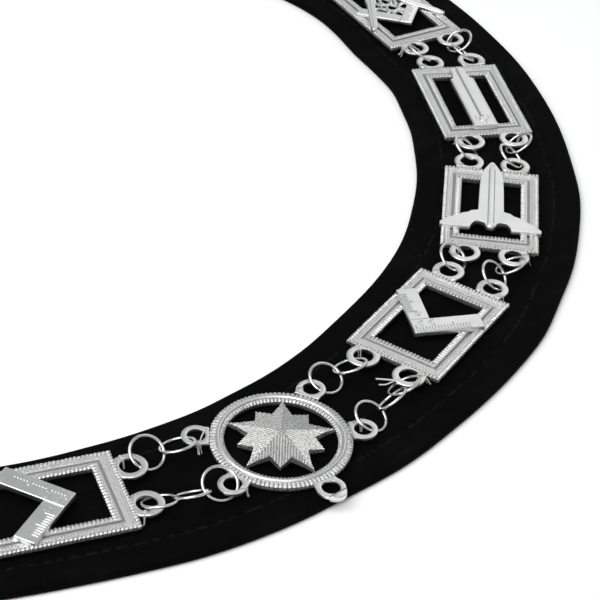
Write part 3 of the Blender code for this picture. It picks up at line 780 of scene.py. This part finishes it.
def medallion_mesh(medal, eyes, plate):
    """The ring is turned: a foot set back, a smooth bead, and between it and the two toothed edges a groove."""
    outer, inner = mm(medal, "outer") / 2, mm(medal, "opening") / 2
    foot, rim = mm(plate, "foot", "rim")
    bead = outer - 2.7
    profile = np.array(
        (
            (outer - 1.0, foot), (outer - 1.0, foot + 1.3), (outer - 0.5, foot + 1.5), (outer - 0.5, rim - 0.75),
            (outer - 1.9, rim - 0.5), (bead + 0.66, rim - 0.3), (bead + 0.56, rim + 0.08), (bead + 0.3, rim + 0.32),
            (bead, rim + 0.4), (bead - 0.3, rim + 0.32), (bead - 0.56, rim + 0.08), (bead - 0.66, rim - 0.3),
            (inner + 1.3, rim - 0.5), (inner + 0.5, rim - 0.75), (inner + 0.5, foot + 1.5),
            (inner + 1.0, foot + 1.3), (inner + 1.0, foot),
        )
    )
    skin = Skin()
    skin.grid(at_height(polar(profile[:, 0], turns(160)[:, None]), profile[:, 1]), ring=True, grain=0.6)
    toothed_ring(
        skin, outer, True, medal.teeth, width=2.1, low=foot + 1.3, base=rim - 0.4, rise=0.42, scallop=0.35, drop=0.4
    )
    toothed_ring(
        skin, inner, False, medal.teeth, width=1.42, low=foot + 1.3, base=rim - 0.45, rise=0.5, scallop=0.2, drop=0.35
    )
    for name in MEDAL_EYES:
        spot, turn = medal_eye(name, medal, eyes)
        flat_eye(skin, eyes, "medal_", spot, polar(1.0, turn))
    free_eye_lip(skin, eyes, *medal_eye("free", medal, eyes))
    star = star_skin(medal, low=rim - 1.15, rim=rim - 0.25, apex=rim + 2.9).mesh("star")
    made = skin.mesh("medallion_cast")
    work = bmesh.new()
    work.from_mesh(star)
    bmesh.ops.remove_doubles(work, verts=work.verts[:], dist=0.002 * MM)
    bmesh.ops.recalc_face_normals(work, faces=work.faces[:])
    work.from_mesh(made)
    work.to_mesh(made)
    work.free()
    bpy.data.meshes.remove(star)
    made.set_sharp_from_angle(angle=math.radians(30.0))
    return made


# Rings


def ring_centre(rings, tilt, radius):
    """Height of the centre of a leaning ring that lies on the cloth."""
    return CLOTH_TOP + mm(rings, "gap") + radius * math.sin(tilt) + mm(rings, "wire") / 2


def half_chord(centre, radius, tilt, eye_middle):
    """Half the width of a leaning ring where it passes the eyes' middle plane."""
    drop = (centre - eye_middle) / (radius * math.sin(tilt))
    return radius * math.sqrt(1 - drop**2) if abs(drop) < 1 else 0.0


def ring_line(radius, x, tilt, lean, centre, eye_middle, steps):
    """The wire's centre line: a circle whose plane holds the run's line and leans to one side."""
    plan = polar(radius, turns(steps))
    side = (centre - eye_middle) / math.tan(tilt)
    up = plan[:, 1]
    return np.c_[x + plan[:, 0], lean * (side + up * math.cos(tilt)), centre + up * math.sin(tilt)]


# How each ring of a run leans, in degrees: plus when it rises towards the neck, minus when it rises outwards
USUAL_LEANS = {"inner": (38,), "outer": (38, -38)}
RUN_LEANS = {
    "rings_inner_medallion_to_right_1": (25, -27),
    "rings_outer_medallion_to_right_1": (28, -48, -34),
    "rings_inner_left_1_to_medallion": (34, -26),
    "rings_outer_left_1_to_medallion": (-26, -36, 30),
    "rings_outer_right_1_to_right_2": (42, -30),
}

# How far, in degrees, a ring may lean otherwise than that, and the least that it may lean
LEAN_CHANGE = 12
LEAST_LEAN = 16


class Run:
    """The rings between two eyes: how large, how far each one leans, and where it hangs."""

    def __init__(self, rings, eyes, span, ends, leans):
        self.rings = rings
        self.wire = mm(rings, "wire")
        self.thickness = mm(eyes, "thickness")
        self.eye_middle = mm(eyes, "top") - self.thickness / 2
        for diameter in np.arange(mm(rings, "outer"), mm(rings, "largest") + 0.01, 0.2):
            self.radius = (diameter - self.wire) / 2
            self.leans = self.find_leans(span, ends, leans)
            if self.leans:
                return
        raise ValueError(f"no ring size threads {len(leans)} rings over {span:.1f} mm")

    def lines(self, leans, steps):
        """The wires' centre lines, each ring starting where the one before it ends, and the run's half length."""
        chords, heights = [], []
        for lean in leans:
            tilt = math.radians(abs(lean))
            heights.append(ring_centre(self.rings, tilt, self.radius))
            chords.append(half_chord(heights[-1], self.radius, tilt, self.eye_middle))
        overlap = self.rings.weld * self.wire
        reach = sum(chords) - overlap * (len(leans) - 1) / 2
        spot, lines = -reach, []
        for lean, chord, height in zip(leans, chords, heights):
            spot += chord
            tilt, sign = math.radians(abs(lean)), math.copysign(1.0, lean)
            lines.append(ring_line(self.radius, spot, tilt, sign, height, self.eye_middle, steps))
            spot += chord - overlap
        return lines, reach

    def find_leans(self, span, ends, leans):
        """The leans nearest the wanted ones at which the run threads both its eyes and clears their rims, or
        None where a run of this ring size can't."""
        for change in sorted(range(-LEAN_CHANGE, LEAN_CHANGE + 1), key=abs):
            tried = [math.copysign(abs(lean) + change, lean) for lean in leans]
            if min(abs(lean) for lean in tried) < LEAST_LEAN:
                continue
            lines, reach = self.lines(tried, 360)
            free = True
            for sign, line, (outer, hole) in ((-1, lines[0], ends[0]), (1, lines[-1], ends[1])):
                radial = np.hypot(line[:, 0] - sign * span / 2, line[:, 1])
                beside = np.maximum(np.maximum(hole / 2 - radial, radial - outer / 2), 0.0)
                above = np.maximum(np.abs(line[:, 2] - self.eye_middle) - self.thickness / 2, 0.0)
                clear = float(np.hypot(beside, above).min()) - self.wire / 2
                threads = abs(reach - span / 2) < hole / 2 - self.wire / 2
                free = free and threads and clear >= -mm(self.rings, "press")
            if free:
                return tried
        return None


def wire_ring(skin, line, radius, sides=10):
    """A round wire closed on itself: at each point of the line the circle cos(a) out + sin(a) normal, where
    out points away from the ring's middle and normal is square to its plane."""
    middle = line.mean(0)
    out = line - middle
    out /= np.linalg.norm(out, axis=1)[:, None]
    normal = np.cross(line[0] - middle, line[len(line) // 4] - middle)
    normal /= np.linalg.norm(normal)
    skin.grid(wire_circles(line, radius, out, normal[None], sides), ring=True)


def plan_matrix(centre, turn):
    """Where a piece lies in the collar's plan."""
    return Matrix.Translation((centre[0] * MM, centre[1] * MM, 0.0)) @ Matrix.Rotation(turn, 4, "Z")


def eye_in_plan(node, end, side, plate, eyes):
    """An eye of a plate in the collar's plan; end is +1 at the plate's end farther along the loop."""
    centre, turn = plate_place(node)
    flip = -1.0 if "left" in node else 1.0
    return centre + turned(flip * plate_eye(plate, eyes, side, end), turn)


# Thread


def tack(skin, eyes, kind, centre, facing, random):
    """Three strands that come out of the velvet inside an eye, cross its rim side by side and go back into the
    velvet. Each runs outwards from the eye's middle at an angle that swings slightly on the way."""
    outer, hole, top = mm(eyes, kind + "outer", kind + "hole", "top")
    reach = [hole / 2 - 0.8, hole / 2 - 0.5, hole / 2 - 0.1, (hole + outer) / 4, outer / 2, outer / 2 + 0.4]
    level = [CLOTH_TOP - 0.3, (CLOTH_TOP + top) / 2, top + 0.08, top + 0.2, top + 0.08, CLOTH_TOP + 1.0]
    for shift in (-0.13, 0.0, 0.13):
        swing = facing + shift + random.uniform(-0.06, 0.06) + np.linspace(0.0, random.uniform(-0.3, 0.3), 7)
        away = np.append(reach, outer / 2 + random.uniform(0.7, 1.6))
        path = at_height(centre + polar(away, swing), np.append(level, CLOTH_TOP - 0.25))
        tube(skin, bend(path), random.uniform(0.11, 0.17), sides=5)


def bend(points, steps=4):
    """A curve through points, each stretch the cubic whose ends run along the line between the two
    neighbours."""
    points = np.asarray(points, dtype=float)
    slopes = np.gradient(points, axis=0)
    t = np.linspace(0.0, 1.0, steps, endpoint=False)[None, :, None]
    start, end = points[:-1, None], points[1:, None]
    first, last = slopes[:-1, None], slopes[1:, None]
    curve = (
        (2 * t**3 - 3 * t**2 + 1) * start + (t**3 - 2 * t**2 + t) * first
        + (3 * t**2 - 2 * t**3) * end + (t**3 - t**2) * last
    )
    return np.concatenate([curve.reshape(-1, points.shape[1]), points[-1:]])


# Loose ends of thread as places in the collar's plan, with the radius: two off a knot and one off the rim at
# the eye of the right square next to the medallion, and two short ones beside the eyes on the left
LOOSE_ENDS = (
    (((47.6, -195.6, 5.9), (45.9, -194.4, 5.2), (44.6, -192.0, 4.4), (42.9, -189.9, 4.0)), 0.28),
    (((46.6, -195.2, 5.3), (45.2, -194.3, 4.3), (44.0, -193.4, 3.5), (42.6, -191.9, 3.1)), 0.24),
    (((53.6, -197.4, 5.9), (54.9, -198.7, 5.9), (55.8, -200.1, 4.6), (56.4, -201.2, 3.1)), 0.22),
    (((-22.2, -182.6, 3.0), (-20.6, -181.4, 4.6), (-18.7, -180.4, 5.7), (-17.0, -179.7, 5.9)), 0.24),
    (((-49.4, -196.2, 2.8), (-47.7, -197.0, 3.3), (-46.4, -196.6, 2.7)), 0.22),
)


# Cloth


def band_edges(samples):
    """Radii of the cloth's inner and outer edge round the collar's middle at even angles. The corners of the
    CAD band's underside are sorted by angle; those nearer the middle than the average of the eight round them
    belong to the inner edge. Both edges are read off between the corners and lightly smoothed."""
    cloud = corner_cloud(CLOTH_NODE)
    foot = cloud[cloud[:, 2] < 0.01, :2]
    angle = np.arctan2(foot[:, 1], foot[:, 0])
    order = np.argsort(angle)
    foot, angle = foot[order], angle[order]
    radius = np.hypot(*foot.T)
    average = sum(np.roll(radius, k) for k in range(-4, 5)) / 9
    even = np.linspace(-math.pi, math.pi, samples, endpoint=False)
    edges = []
    for chosen in (radius < average, radius >= average):
        values = np.interp(even, angle[chosen], radius[chosen], period=2 * math.pi)
        edges.append(smooth_closed(values, samples / 260))
    return even, edges[0], edges[1]


def wander(angle, seed, waves, strength):
    """A seeded sum of sine waves round the loop."""
    random = np.random.default_rng(seed)
    total = np.zeros_like(angle)
    for k in waves:
        total += random.normal() * np.sin(k * angle + random.uniform(0.0, 2 * math.pi)) / math.sqrt(len(waves))
    return strength * total


# The sewn groove in the velvet: its distance from the edge and its depth
SEAM_INSET = 9.8
SEAM_DEPTH = 0.35

# The highest that the velvet's top may rise
CLOTH_CEILING = 2.62


def cloth_skin(samples=900):
    """The band as a ring of sections. A point of the section is (share of the way from the inner to the outer
    edge, distance inwards from them, height). The edges are rounded, the top rises and falls slightly round the
    loop, and inside each edge runs a sewn groove, whose depth at distance d is a bell curve round the seam."""
    angle, inner, outer = band_edges(samples)
    inner = inner + wander(angle, 3, range(9, 40), 0.12)
    outer = outer + wander(angle, 4, range(9, 40), 0.12)
    half = [(0.55, 0.02), (0.12, 0.45), (0.0, 1.0), (0.08, 1.55), (0.32, 2.05), (0.75, 2.36), (1.4, CLOTH_TOP)]
    half += [(distance, CLOTH_TOP) for distance in (1.9, 3.0, 5.0, 7.5, 9.1, 9.6, SEAM_INSET, 10.0, 10.5, 12.0)]
    section = [(0, *point) for point in half] + [(0.5, 0.0, CLOTH_TOP)] + [(1, *point) for point in half[::-1]]
    pucker = 1 + 0.06 * np.sin(angle * 330)
    rows = []
    for side, distance, height in section:
        radius = (1 - side) * (inner + distance) + side * (outer - distance)
        wave = wander(angle, 11 + int(10 * side), range(3, 22), 0.05) * height / CLOTH_TOP
        groove = SEAM_DEPTH * math.exp(-(((distance - SEAM_INSET) / 0.28) ** 2))
        z = height + wave - groove * pucker
        z = np.minimum(z, CLOTH_CEILING) if height > 1 else np.maximum(z, 0.0)
        rows.append(at_height(polar(radius, angle), z))
    seam = np.exp(-(((np.array(section)[:, 1] - SEAM_INSET) / 0.3) ** 2))
    skin = Skin()
    skin.grid(np.stack(rows, 1), ring=True, mark=seam)
    return skin


# Shaders


class Value:
    """A number in a shader. Arithmetic on values adds the Math nodes that work it out."""

    def __init__(self, recipe, socket):
        self.recipe = recipe
        self.socket = socket

    def math(self, operation, first, second):
        """One Math node over two numbers or values."""
        node = self.recipe.node("ShaderNodeMath", {"operation": operation}, {0: first, 1: second})
        return Value(self.recipe, node.outputs[0])

    def __add__(self, other):
        return self.math("ADD", self, other)

    def __radd__(self, other):
        return self.math("ADD", other, self)

    def __rsub__(self, other):
        return self.math("SUBTRACT", other, self)

    def __mul__(self, other):
        return self.math("MULTIPLY", self, other)

    def __rmul__(self, other):
        return self.math("MULTIPLY", other, self)

    def ramp(self, low, high, start=0.0, end=1.0):
        """Rises smoothly from start at low to end at high."""
        values = {"Value": self, "From Min": low, "From Max": high, "To Min": start, "To Max": end}
        node = self.recipe.node("ShaderNodeMapRange", {"interpolation_type": "SMOOTHSTEP"}, values)
        return Value(self.recipe, node.outputs["Result"])


class Recipe:
    """A material whose nodes are added one by one."""

    def __init__(self, name):
        self.material = bpy.data.materials.new(name)
        self.material.use_nodes = True
        self.tree = self.material.node_tree
        self.tree.nodes.clear()
        self.output = self.node("ShaderNodeOutputMaterial")
        self.place = Value(self, self.node("ShaderNodeTexCoord").outputs["Object"])

    def node(self, kind, settings=None, values=None):
        """A node of any kind: its settings first, then the values or links of its sockets."""
        made = self.tree.nodes.new(kind)
        for name, value in (settings or {}).items():
            setattr(made, name, value)
        for name, value in (values or {}).items():
            if isinstance(value, Value):
                self.tree.links.new(value.socket, made.inputs[name])
            else:
                made.inputs[name].default_value = value
        return made

    def noise(self, scale, detail=2.0, roughness=0.5, place=None):
        """Blotches of that many to the metre."""
        values = {"Vector": place or self.place, "Scale": scale, "Detail": detail, "Roughness": roughness}
        return Value(self, self.node("ShaderNodeTexNoise", {}, values).outputs["Fac"])

    def stretched(self, turn, scale):
        """The object's own coordinates turned about Z and scaled."""
        values = {"Vector": self.place, "Rotation": (0.0, 0.0, turn), "Scale": scale}
        return Value(self, self.node("ShaderNodeMapping", {}, values).outputs[0])

    def attribute(self, name):
        """A number that the mesh keeps at each of its points."""
        return Value(self, self.node("ShaderNodeAttribute", {"attribute_name": name}).outputs["Fac"])

    def height(self):
        """Height over the table in metres."""
        return Value(self, self.node("ShaderNodeSeparateXYZ", {}, {0: self.place}).outputs["Z"])

    def mix(self, share, first, second):
        """A colour between two others."""
        first, second = (value if isinstance(value, Value) else (*value, 1.0) for value in (first, second))
        node = self.node("ShaderNodeMix", {"data_type": "RGBA"}, {0: share, 6: first, 7: second})
        return Value(self, node.outputs[2])

    def bump(self, height, strength, distance):
        """Normals bent by a relief."""
        values = {"Strength": strength, "Distance": distance, "Height": height}
        return Value(self, self.node("ShaderNodeBump", {}, values).outputs["Normal"])

    def finish(self, values):
        """The material, with these values in its shader."""
        shader = self.node("ShaderNodeBsdfPrincipled", {}, values)
        self.tree.links.new(shader.outputs[0], self.output.inputs["Surface"])
        return self.material


# Greys that the finishes run into: pits and worn patches of the castings, their dark lines and specks and the painted
# shade in their gaps and grooves, dull wire, lint and sewing on the velvet, the plies of the thread, and the paper's
# fibre
PIT_GREY = (0.64, 0.64, 0.635)
WORN_GREY = (0.60, 0.60, 0.60)
SHADE_AND_MARK_GREY = (0.13, 0.128, 0.125)
WIRE_GREY = (0.55, 0.55, 0.54)
LINT_GREY = (0.022, 0.022, 0.024)
PLY_GREY = (0.5, 0.5, 0.48)
FIBRE_GREY = (0.90, 0.90, 0.905)

# Heights in metres between which the tarnish of the castings fades out
TARNISH_FADE = (0.0044, 0.0052)


def cast_silver(finish):
    """Plated castings: bright flats with faint polishing streaks, a cast grain where the surface was left as it
    came from the mould, painted shade in the gaps between the teeth, and worn patches."""
    recipe = Recipe("cast_silver")
    fine = recipe.noise(3100.0, 2.0, 0.65)
    coarse = recipe.noise(1450.0, 2.0)
    blotch = recipe.noise(130.0, 3.0, 0.6)
    polish = recipe.noise(1.0, 2.0, 0.5, recipe.stretched(0.6, (500.0, 4200.0, 500.0)))
    grain = recipe.attribute("grain")
    mark = recipe.attribute("mark")
    deep = 1.0 - recipe.height().ramp(*TARNISH_FADE)
    grime = deep * blotch.ramp(0.2, 0.75, 0.75, 1.0)
    pits = grain * (coarse.ramp(0.54, 0.36) * 0.45 + fine.ramp(0.52, 0.33) * 0.3)
    tarnished = recipe.mix(grime * 0.9, finish.silver, finish.tarnish)
    pitted = recipe.mix(pits, tarnished, PIT_GREY)
    worn = recipe.mix(blotch.ramp(0.45, 0.8, 0.0, 0.14), pitted, WORN_GREY)
    specks = grain.ramp(0.9, 1.7) * fine.ramp(0.47, 0.36) * 0.6
    # The mark attribute adds painted shade in the gaps of the teeth, on the groove's floor and in the star's grooves,
    # besides darker raised lines; the specks are cast grain.
    shade_and_marks = recipe.mix(mark * 0.75 + specks, worn, SHADE_AND_MARK_GREY)
    rough = finish.gloss + 0.12 * grime + 0.05 * grain + 0.08 * blotch.ramp(0.35, 0.7) + 0.06 * fine + 0.25 * mark
    relief = (grain + 0.05) * (fine + 1.6 * coarse) + 0.05 * polish + 0.05 * blotch
    return recipe.finish(
        {
            "Base Color": shade_and_marks,
            "Metallic": 1.0,
            "Roughness": rough,
            "Normal": recipe.bump(relief, 0.52, 0.00024),
        }
    )


def bright_wire(finish):
    """Jump rings: drawn wire with faint scratches and duller patches."""
    recipe = Recipe("bright_wire")
    scratch = recipe.noise(1.0, 2.0, 0.5, recipe.stretched(0.6, (900.0, 3800.0, 3800.0)))
    blotch = recipe.noise(220.0, 2.0)
    tone = recipe.mix(blotch.ramp(0.45, 0.75, 0.0, 0.35), finish.wire, WIRE_GREY)
    return recipe.finish(
        {
            "Base Color": tone,
            "Metallic": 1.0,
            "Roughness": 0.13 + 0.12 * blotch + 0.08 * scratch,
            "Normal": recipe.bump(scratch, 0.25, 0.00004),
        }
    )


def black_velvet(finish):
    """Velvet: a nearly black pile, brushed lighter in streaks, over a fine uneven nap."""
    recipe = Recipe("black_velvet")
    pile = recipe.noise(2400.0, 3.0, 0.6)
    streak = recipe.noise(1.0, 3.0, 0.6, recipe.stretched(0.7, (26.0, 90.0, 26.0)))
    blotch = recipe.noise(34.0, 3.0, 0.55)
    brushed = streak.ramp(0.48, 0.78) * 0.6 + blotch.ramp(0.5, 0.8) * 0.5
    napped = recipe.mix(brushed * (0.7 + 0.6 * pile), finish.velvet, finish.nap)
    sewn = recipe.attribute("mark") * recipe.noise(420.0, 1.0).ramp(0.42, 0.6)
    lint = recipe.noise(380.0, 1.0).ramp(0.77, 0.84)
    tone = recipe.mix(sewn * 0.4 + lint * 0.8, napped, LINT_GREY)
    return recipe.finish(
        {
            "Base Color": tone,
            "Roughness": 0.88 + 0.1 * pile,
            "Specular IOR Level": 0.05,
            "Sheen Weight": 0.008,
            "Sheen Roughness": 0.45,
            "Sheen Tint": (0.75, 0.78, 0.85, 1.0),
            "Normal": recipe.bump(pile + 0.6 * blotch, 0.5, 0.00018),
        }
    )


def sewing_thread(finish):
    """Thread: twisted plies, pale and greyish."""
    recipe = Recipe("sewing_thread")
    ply = recipe.noise(5200.0, 2.0)
    tone = recipe.mix(ply, finish.thread, PLY_GREY)
    return recipe.finish({"Base Color": tone, "Roughness": 0.8, "Normal": recipe.bump(ply, 0.5, 0.00008)})


def pale_paper(finish):
    """The white paper under the collar, with a faint fibre."""
    recipe = Recipe("pale_paper")
    fibre = recipe.noise(700.0, 4.0, 0.6)
    tone = recipe.mix(fibre.ramp(0.3, 0.7, 0.0, 0.25), finish.floor, FIBRE_GREY)
    return recipe.finish({"Base Color": tone, "Roughness": 0.92, "Specular IOR Level": 0.1})


# Placing


def add_piece(name, mesh, finish, nodes=(), place=None):
    """Puts a mesh into the scene with its place in the mesh, riding on the one body of the collar."""
    if place is not None:
        mesh.transform(place)
    mesh.name = name
    mesh.materials.append(made_once(finish))
    piece = bpy.data.objects.new(name, mesh)
    bpy.context.scene.collection.objects.link(piece)
    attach(piece, "root")
    if nodes:
        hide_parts(*nodes)
    return piece


def settings(*names):
    """Groups of sizes or colours from the panel."""
    return [getattr(bpy.context.scene, f"collar_{name}") for name in names]


def made_once(finish):
    """A finish's material, made when it is first asked for."""
    return bpy.data.materials.get(finish.__name__) or finish(*settings("finish"))


# Operators


class COLLAR_OT_velvet(bpy.types.Operator):
    """Lay the velvet band"""

    bl_idname = "collar.velvet"
    bl_label = "Velvet band"
    bl_options = {"REGISTER", "UNDO"}

    def execute(self, context):
        mesh = cloth_skin().mesh("velvet", math.radians(80.0))
        cloth = add_piece("velvet_cloth", mesh, black_velvet, [CLOTH_NODE])
        _, inner, outer = band_edges(720)
        return {"FINISHED"}


class COLLAR_OT_medallion(bpy.types.Operator):
    """Cast the star medallion"""

    bl_idname = "collar.medallion"
    bl_label = "Medallion"
    bl_options = {"REGISTER", "UNDO"}

    def execute(self, context):
        mesh = medallion_mesh(*settings("medal", "eye", "plate"))
        place = plan_matrix(medal_place(), 0.0)
        add_piece("medallion_cast", mesh, cast_silver, [MEDALLION_NODE], place)
        return {"FINISHED"}


class COLLAR_OT_plates(bpy.types.Operator):
    """Cast the plates with their emblems"""

    bl_idname = "collar.plates"
    bl_label = "Plates"
    bl_options = {"REGISTER", "UNDO"}

    def execute(self, context):
        plate, eyes = settings("plate", "eye")
        for kind, emblem in EMBLEMS.items():
            skin = Skin()
            moulded_frame(skin, plate)
            frame_teeth(skin, plate)
            plate_eyes(skin, plate, eyes)
            emblem(skin, mm(plate, "emblem"))
            pattern = skin.mesh(kind)
            for node in (name for name in PLATE_NODES if name.endswith(kind)):
                place = plan_matrix(*plate_place(node))
                add_piece(f"{node}_cast", pattern.copy(), cast_silver, [node], place)
            bpy.data.meshes.remove(pattern)
        return {"FINISHED"}


class COLLAR_OT_rings(bpy.types.Operator):
    """Hang the jump rings between the eyes"""

    bl_idname = "collar.rings"
    bl_label = "Jump rings"
    bl_options = {"REGISTER", "UNDO"}

    def execute(self, context):
        plate, eyes, medal, rings = settings("plate", "eye", "medal", "ring")
        nodes = {"_".join(node.split("_")[1:3]): node for node in PLATE_NODES}

        def eye(label, end, side):
            if label == "medallion":
                hand = "right" if end > 0 else "left"
                return medal_place() + medal_eye(f"{hand}_{side}", medal, eyes)[0]
            return eye_in_plan(nodes[label], end, -1 if side == "inner" else 1, plate, eyes)

        for node in RUN_NODES:
            _, side, joint = node.split("_", 2)
            labels = joint.split("_to_")
            start, end = eye(labels[0], 1, side), eye(labels[1], -1, side)
            kinds = ["medal_" if label == "medallion" else "" for label in labels]
            widths = [mm(eyes, kind + "outer", kind + "hole") for kind in kinds]
            span = end - start
            run = Run(rings, eyes, float(np.hypot(*span)), widths, RUN_LEANS.get(node, USUAL_LEANS[side]))
            skin = Skin()
            for line in run.lines(run.leans, 40)[0]:
                wire_ring(skin, line, run.wire / 2)
            place = plan_matrix((start + end) / 2, math.atan2(span[1], span[0]))
            add_piece(f"{node}_wire", skin.mesh(node), bright_wire, [node], place)
        return {"FINISHED"}


class COLLAR_OT_threads(bpy.types.Operator):
    """Tack the eyes to the velvet with thread"""

    bl_idname = "collar.threads"
    bl_label = "Thread tacks"
    bl_options = {"REGISTER", "UNDO"}

    def execute(self, context):
        plate, eyes, medal = settings("plate", "eye", "medal")
        random = np.random.default_rng(21)
        skin = Skin()
        for node in PLATE_NODES:
            middle = plate_place(node)[0]
            for end in (1, -1):
                pair = [eye_in_plan(node, end, side, plate, eyes) for side in (1, -1)]
                for centre, other in (pair, pair[::-1]):
                    aside = unit(centre - other) + 0.6 * unit(middle - centre)
                    facing = math.atan2(aside[1], aside[0]) + random.uniform(-0.35, 0.35)
                    tack(skin, eyes, "", centre, facing, random)
        for name in MEDAL_EYES:
            if name != "free":
                spot, turn = medal_eye(name, medal, eyes)
                facing = turn + math.pi / 2 + random.uniform(-0.3, 0.3)
                tack(skin, eyes, "medal_", medal_place() + spot, facing, random)
        for points, radius in LOOSE_ENDS:
            tube(skin, bend(points), radius, sides=6)
        add_piece("thread_tacks", skin.mesh("threads"), sewing_thread)
        return {"FINISHED"}


# The photograph's camera: where it stands and what it is aimed at, in metres from the chain's middle at the
# medallion, its roll in degrees and its lens in millimetres
CAMERA_FROM = (-0.31556, -0.35275, 0.41012)
CAMERA_AIM = (0.04766, 0.05057, 0.0)
CAMERA_ROLL = 4.607
CAMERA_LENS = 122.63

# The lamps: name, place, size, power and tint, and the point that both are aimed at
LAMPS = (
    ("key", (-0.90, -0.18, 1.44), (1.9, 1.9), 33.0, (1.0, 0.997, 0.99)),
    ("panel", (1.27, 0.42, 0.90), (1.15, 1.55), 3.9, (1.0, 1.0, 1.0)),
)
LAMP_AIM = (0.0, -0.1, 0.0)

# Tones of the dome from the horizon up to the zenith, each with its share of the way
DOME_TONES = ((0.0, 0.85), (0.2, 0.24), (1.0, 0.46))


class COLLAR_OT_stage(bpy.types.Operator):
    """Set up the paper, the lights and the camera"""

    bl_idname = "collar.stage"
    bl_label = "Studio"
    bl_options = {"REGISTER", "UNDO"}

    def execute(self, context):
        scene = context.scene
        floor = bpy.data.meshes.new("paper")
        floor.from_pydata([(-6, -6, 0), (6, -6, 0), (6, 6, 0), (-6, 6, 0)], [], [(0, 1, 2, 3)])
        floor.materials.append(made_once(pale_paper))
        paper = bpy.data.objects.new("paper", floor)
        scene.collection.objects.link(paper)
        paper.location.z = -0.0002
        world = bpy.data.worlds.new("studio")
        world.use_nodes = True
        self.light_dome(world.node_tree)
        scene.world = world
        for name, spot, size, power, tint in LAMPS:
            light = bpy.data.lights.new(name, "AREA")
            light.energy = power
            light.shape = "RECTANGLE"
            light.size, light.size_y = size
            light.color = tint
            lamp = bpy.data.objects.new(name, light)
            scene.collection.objects.link(lamp)
            lamp.location = spot
            lamp.rotation_euler = (Vector(LAMP_AIM) - Vector(spot)).to_track_quat("-Z", "Y").to_euler()
        self.set_camera(scene)
        scene.view_settings.view_transform = "Standard"
        scene.view_settings.look = "None"
        scene.view_settings.exposure = 0.0
        return {"FINISHED"}

    def light_dome(self, tree):
        """A dome that is pale at the horizon, darkest a little above it and brighter again towards the zenith."""
        place = tree.nodes.new("ShaderNodeTexCoord")
        parts = tree.nodes.new("ShaderNodeSeparateXYZ")
        ramp = tree.nodes.new("ShaderNodeValToRGB")
        stops = ramp.color_ramp.elements
        stops.new(DOME_TONES[1][0])
        for stop, (position, tone) in zip(stops, DOME_TONES):
            stop.position = position
            stop.color = (0.97 * tone, 0.985 * tone, tone, 1.0)
        tree.links.new(place.outputs["Generated"], parts.inputs[0])
        tree.links.new(parts.outputs["Z"], ramp.inputs["Fac"])
        tree.links.new(ramp.outputs["Color"], tree.nodes["Background"].inputs["Color"])

    def set_camera(self, scene):
        """The camera of the photograph, placed from the chain's middle at the medallion and turned about its
        own axis by the roll."""
        centre = medal_place() * MM
        middle = Vector((centre[0] + 0.001, centre[1], 0.0057))
        eye = middle + Vector(CAMERA_FROM)
        ahead = (middle + Vector(CAMERA_AIM) - eye).normalized()
        right = ahead.cross(Vector((0.0, 0.0, 1.0))).normalized()
        up = right.cross(ahead)
        roll = math.radians(CAMERA_ROLL)
        across = math.cos(roll) * right + math.sin(roll) * up
        upright = math.cos(roll) * up - math.sin(roll) * right
        data = bpy.data.cameras.new("camera")
        data.sensor_width = 36.0
        data.lens = CAMERA_LENS
        data.clip_start = 0.01
        data.clip_end = 20.0
        camera = bpy.data.objects.new("camera", data)
        scene.collection.objects.link(camera)
        turn = Matrix((across, upright, -ahead)).transposed().to_4x4()
        camera.matrix_world = Matrix.Translation(eye) @ turn
        scene.camera = camera


OPERATORS = (
    COLLAR_OT_velvet,
    COLLAR_OT_medallion,
    COLLAR_OT_plates,
    COLLAR_OT_rings,
    COLLAR_OT_threads,
    COLLAR_OT_stage,
)


class COLLAR_PT_panel(bpy.types.Panel):
    """Lists the collar's pieces and sizes"""

    bl_label = "Chain collar"
    bl_idname = "COLLAR_PT_panel"
    bl_space_type = "VIEW_3D"
    bl_region_type = "UI"
    bl_category = "Collar"

    def draw(self, context):
        for operator in OPERATORS:
            self.layout.operator(operator.bl_idname)
        for name, group in SETTINGS.items():
            box = self.layout.box()
            for key in group.__annotations__:
                box.prop(getattr(context.scene, name), key)


CLASSES = (*SETTINGS.values(), *OPERATORS, COLLAR_PT_panel)


def register():
    """Adds the classes and the groups of settings to Blender."""
    for item in CLASSES:
        bpy.utils.register_class(item)
    for name, group in SETTINGS.items():
        setattr(bpy.types.Scene, name, bpy.props.PointerProperty(type=group))


def unregister():
    """Takes them away again."""
    for name in SETTINGS:
        delattr(bpy.types.Scene, name)
    for item in reversed(CLASSES):
        bpy.utils.unregister_class(item)


def main():
    """Builds the collar with its operators."""
    register()
    for operator in OPERATORS:
        group, name = operator.bl_idname.split(".")
        getattr(getattr(bpy.ops, group), name)()
    bpy.context.view_layer.update()


if __name__ == "__main__":
    main()
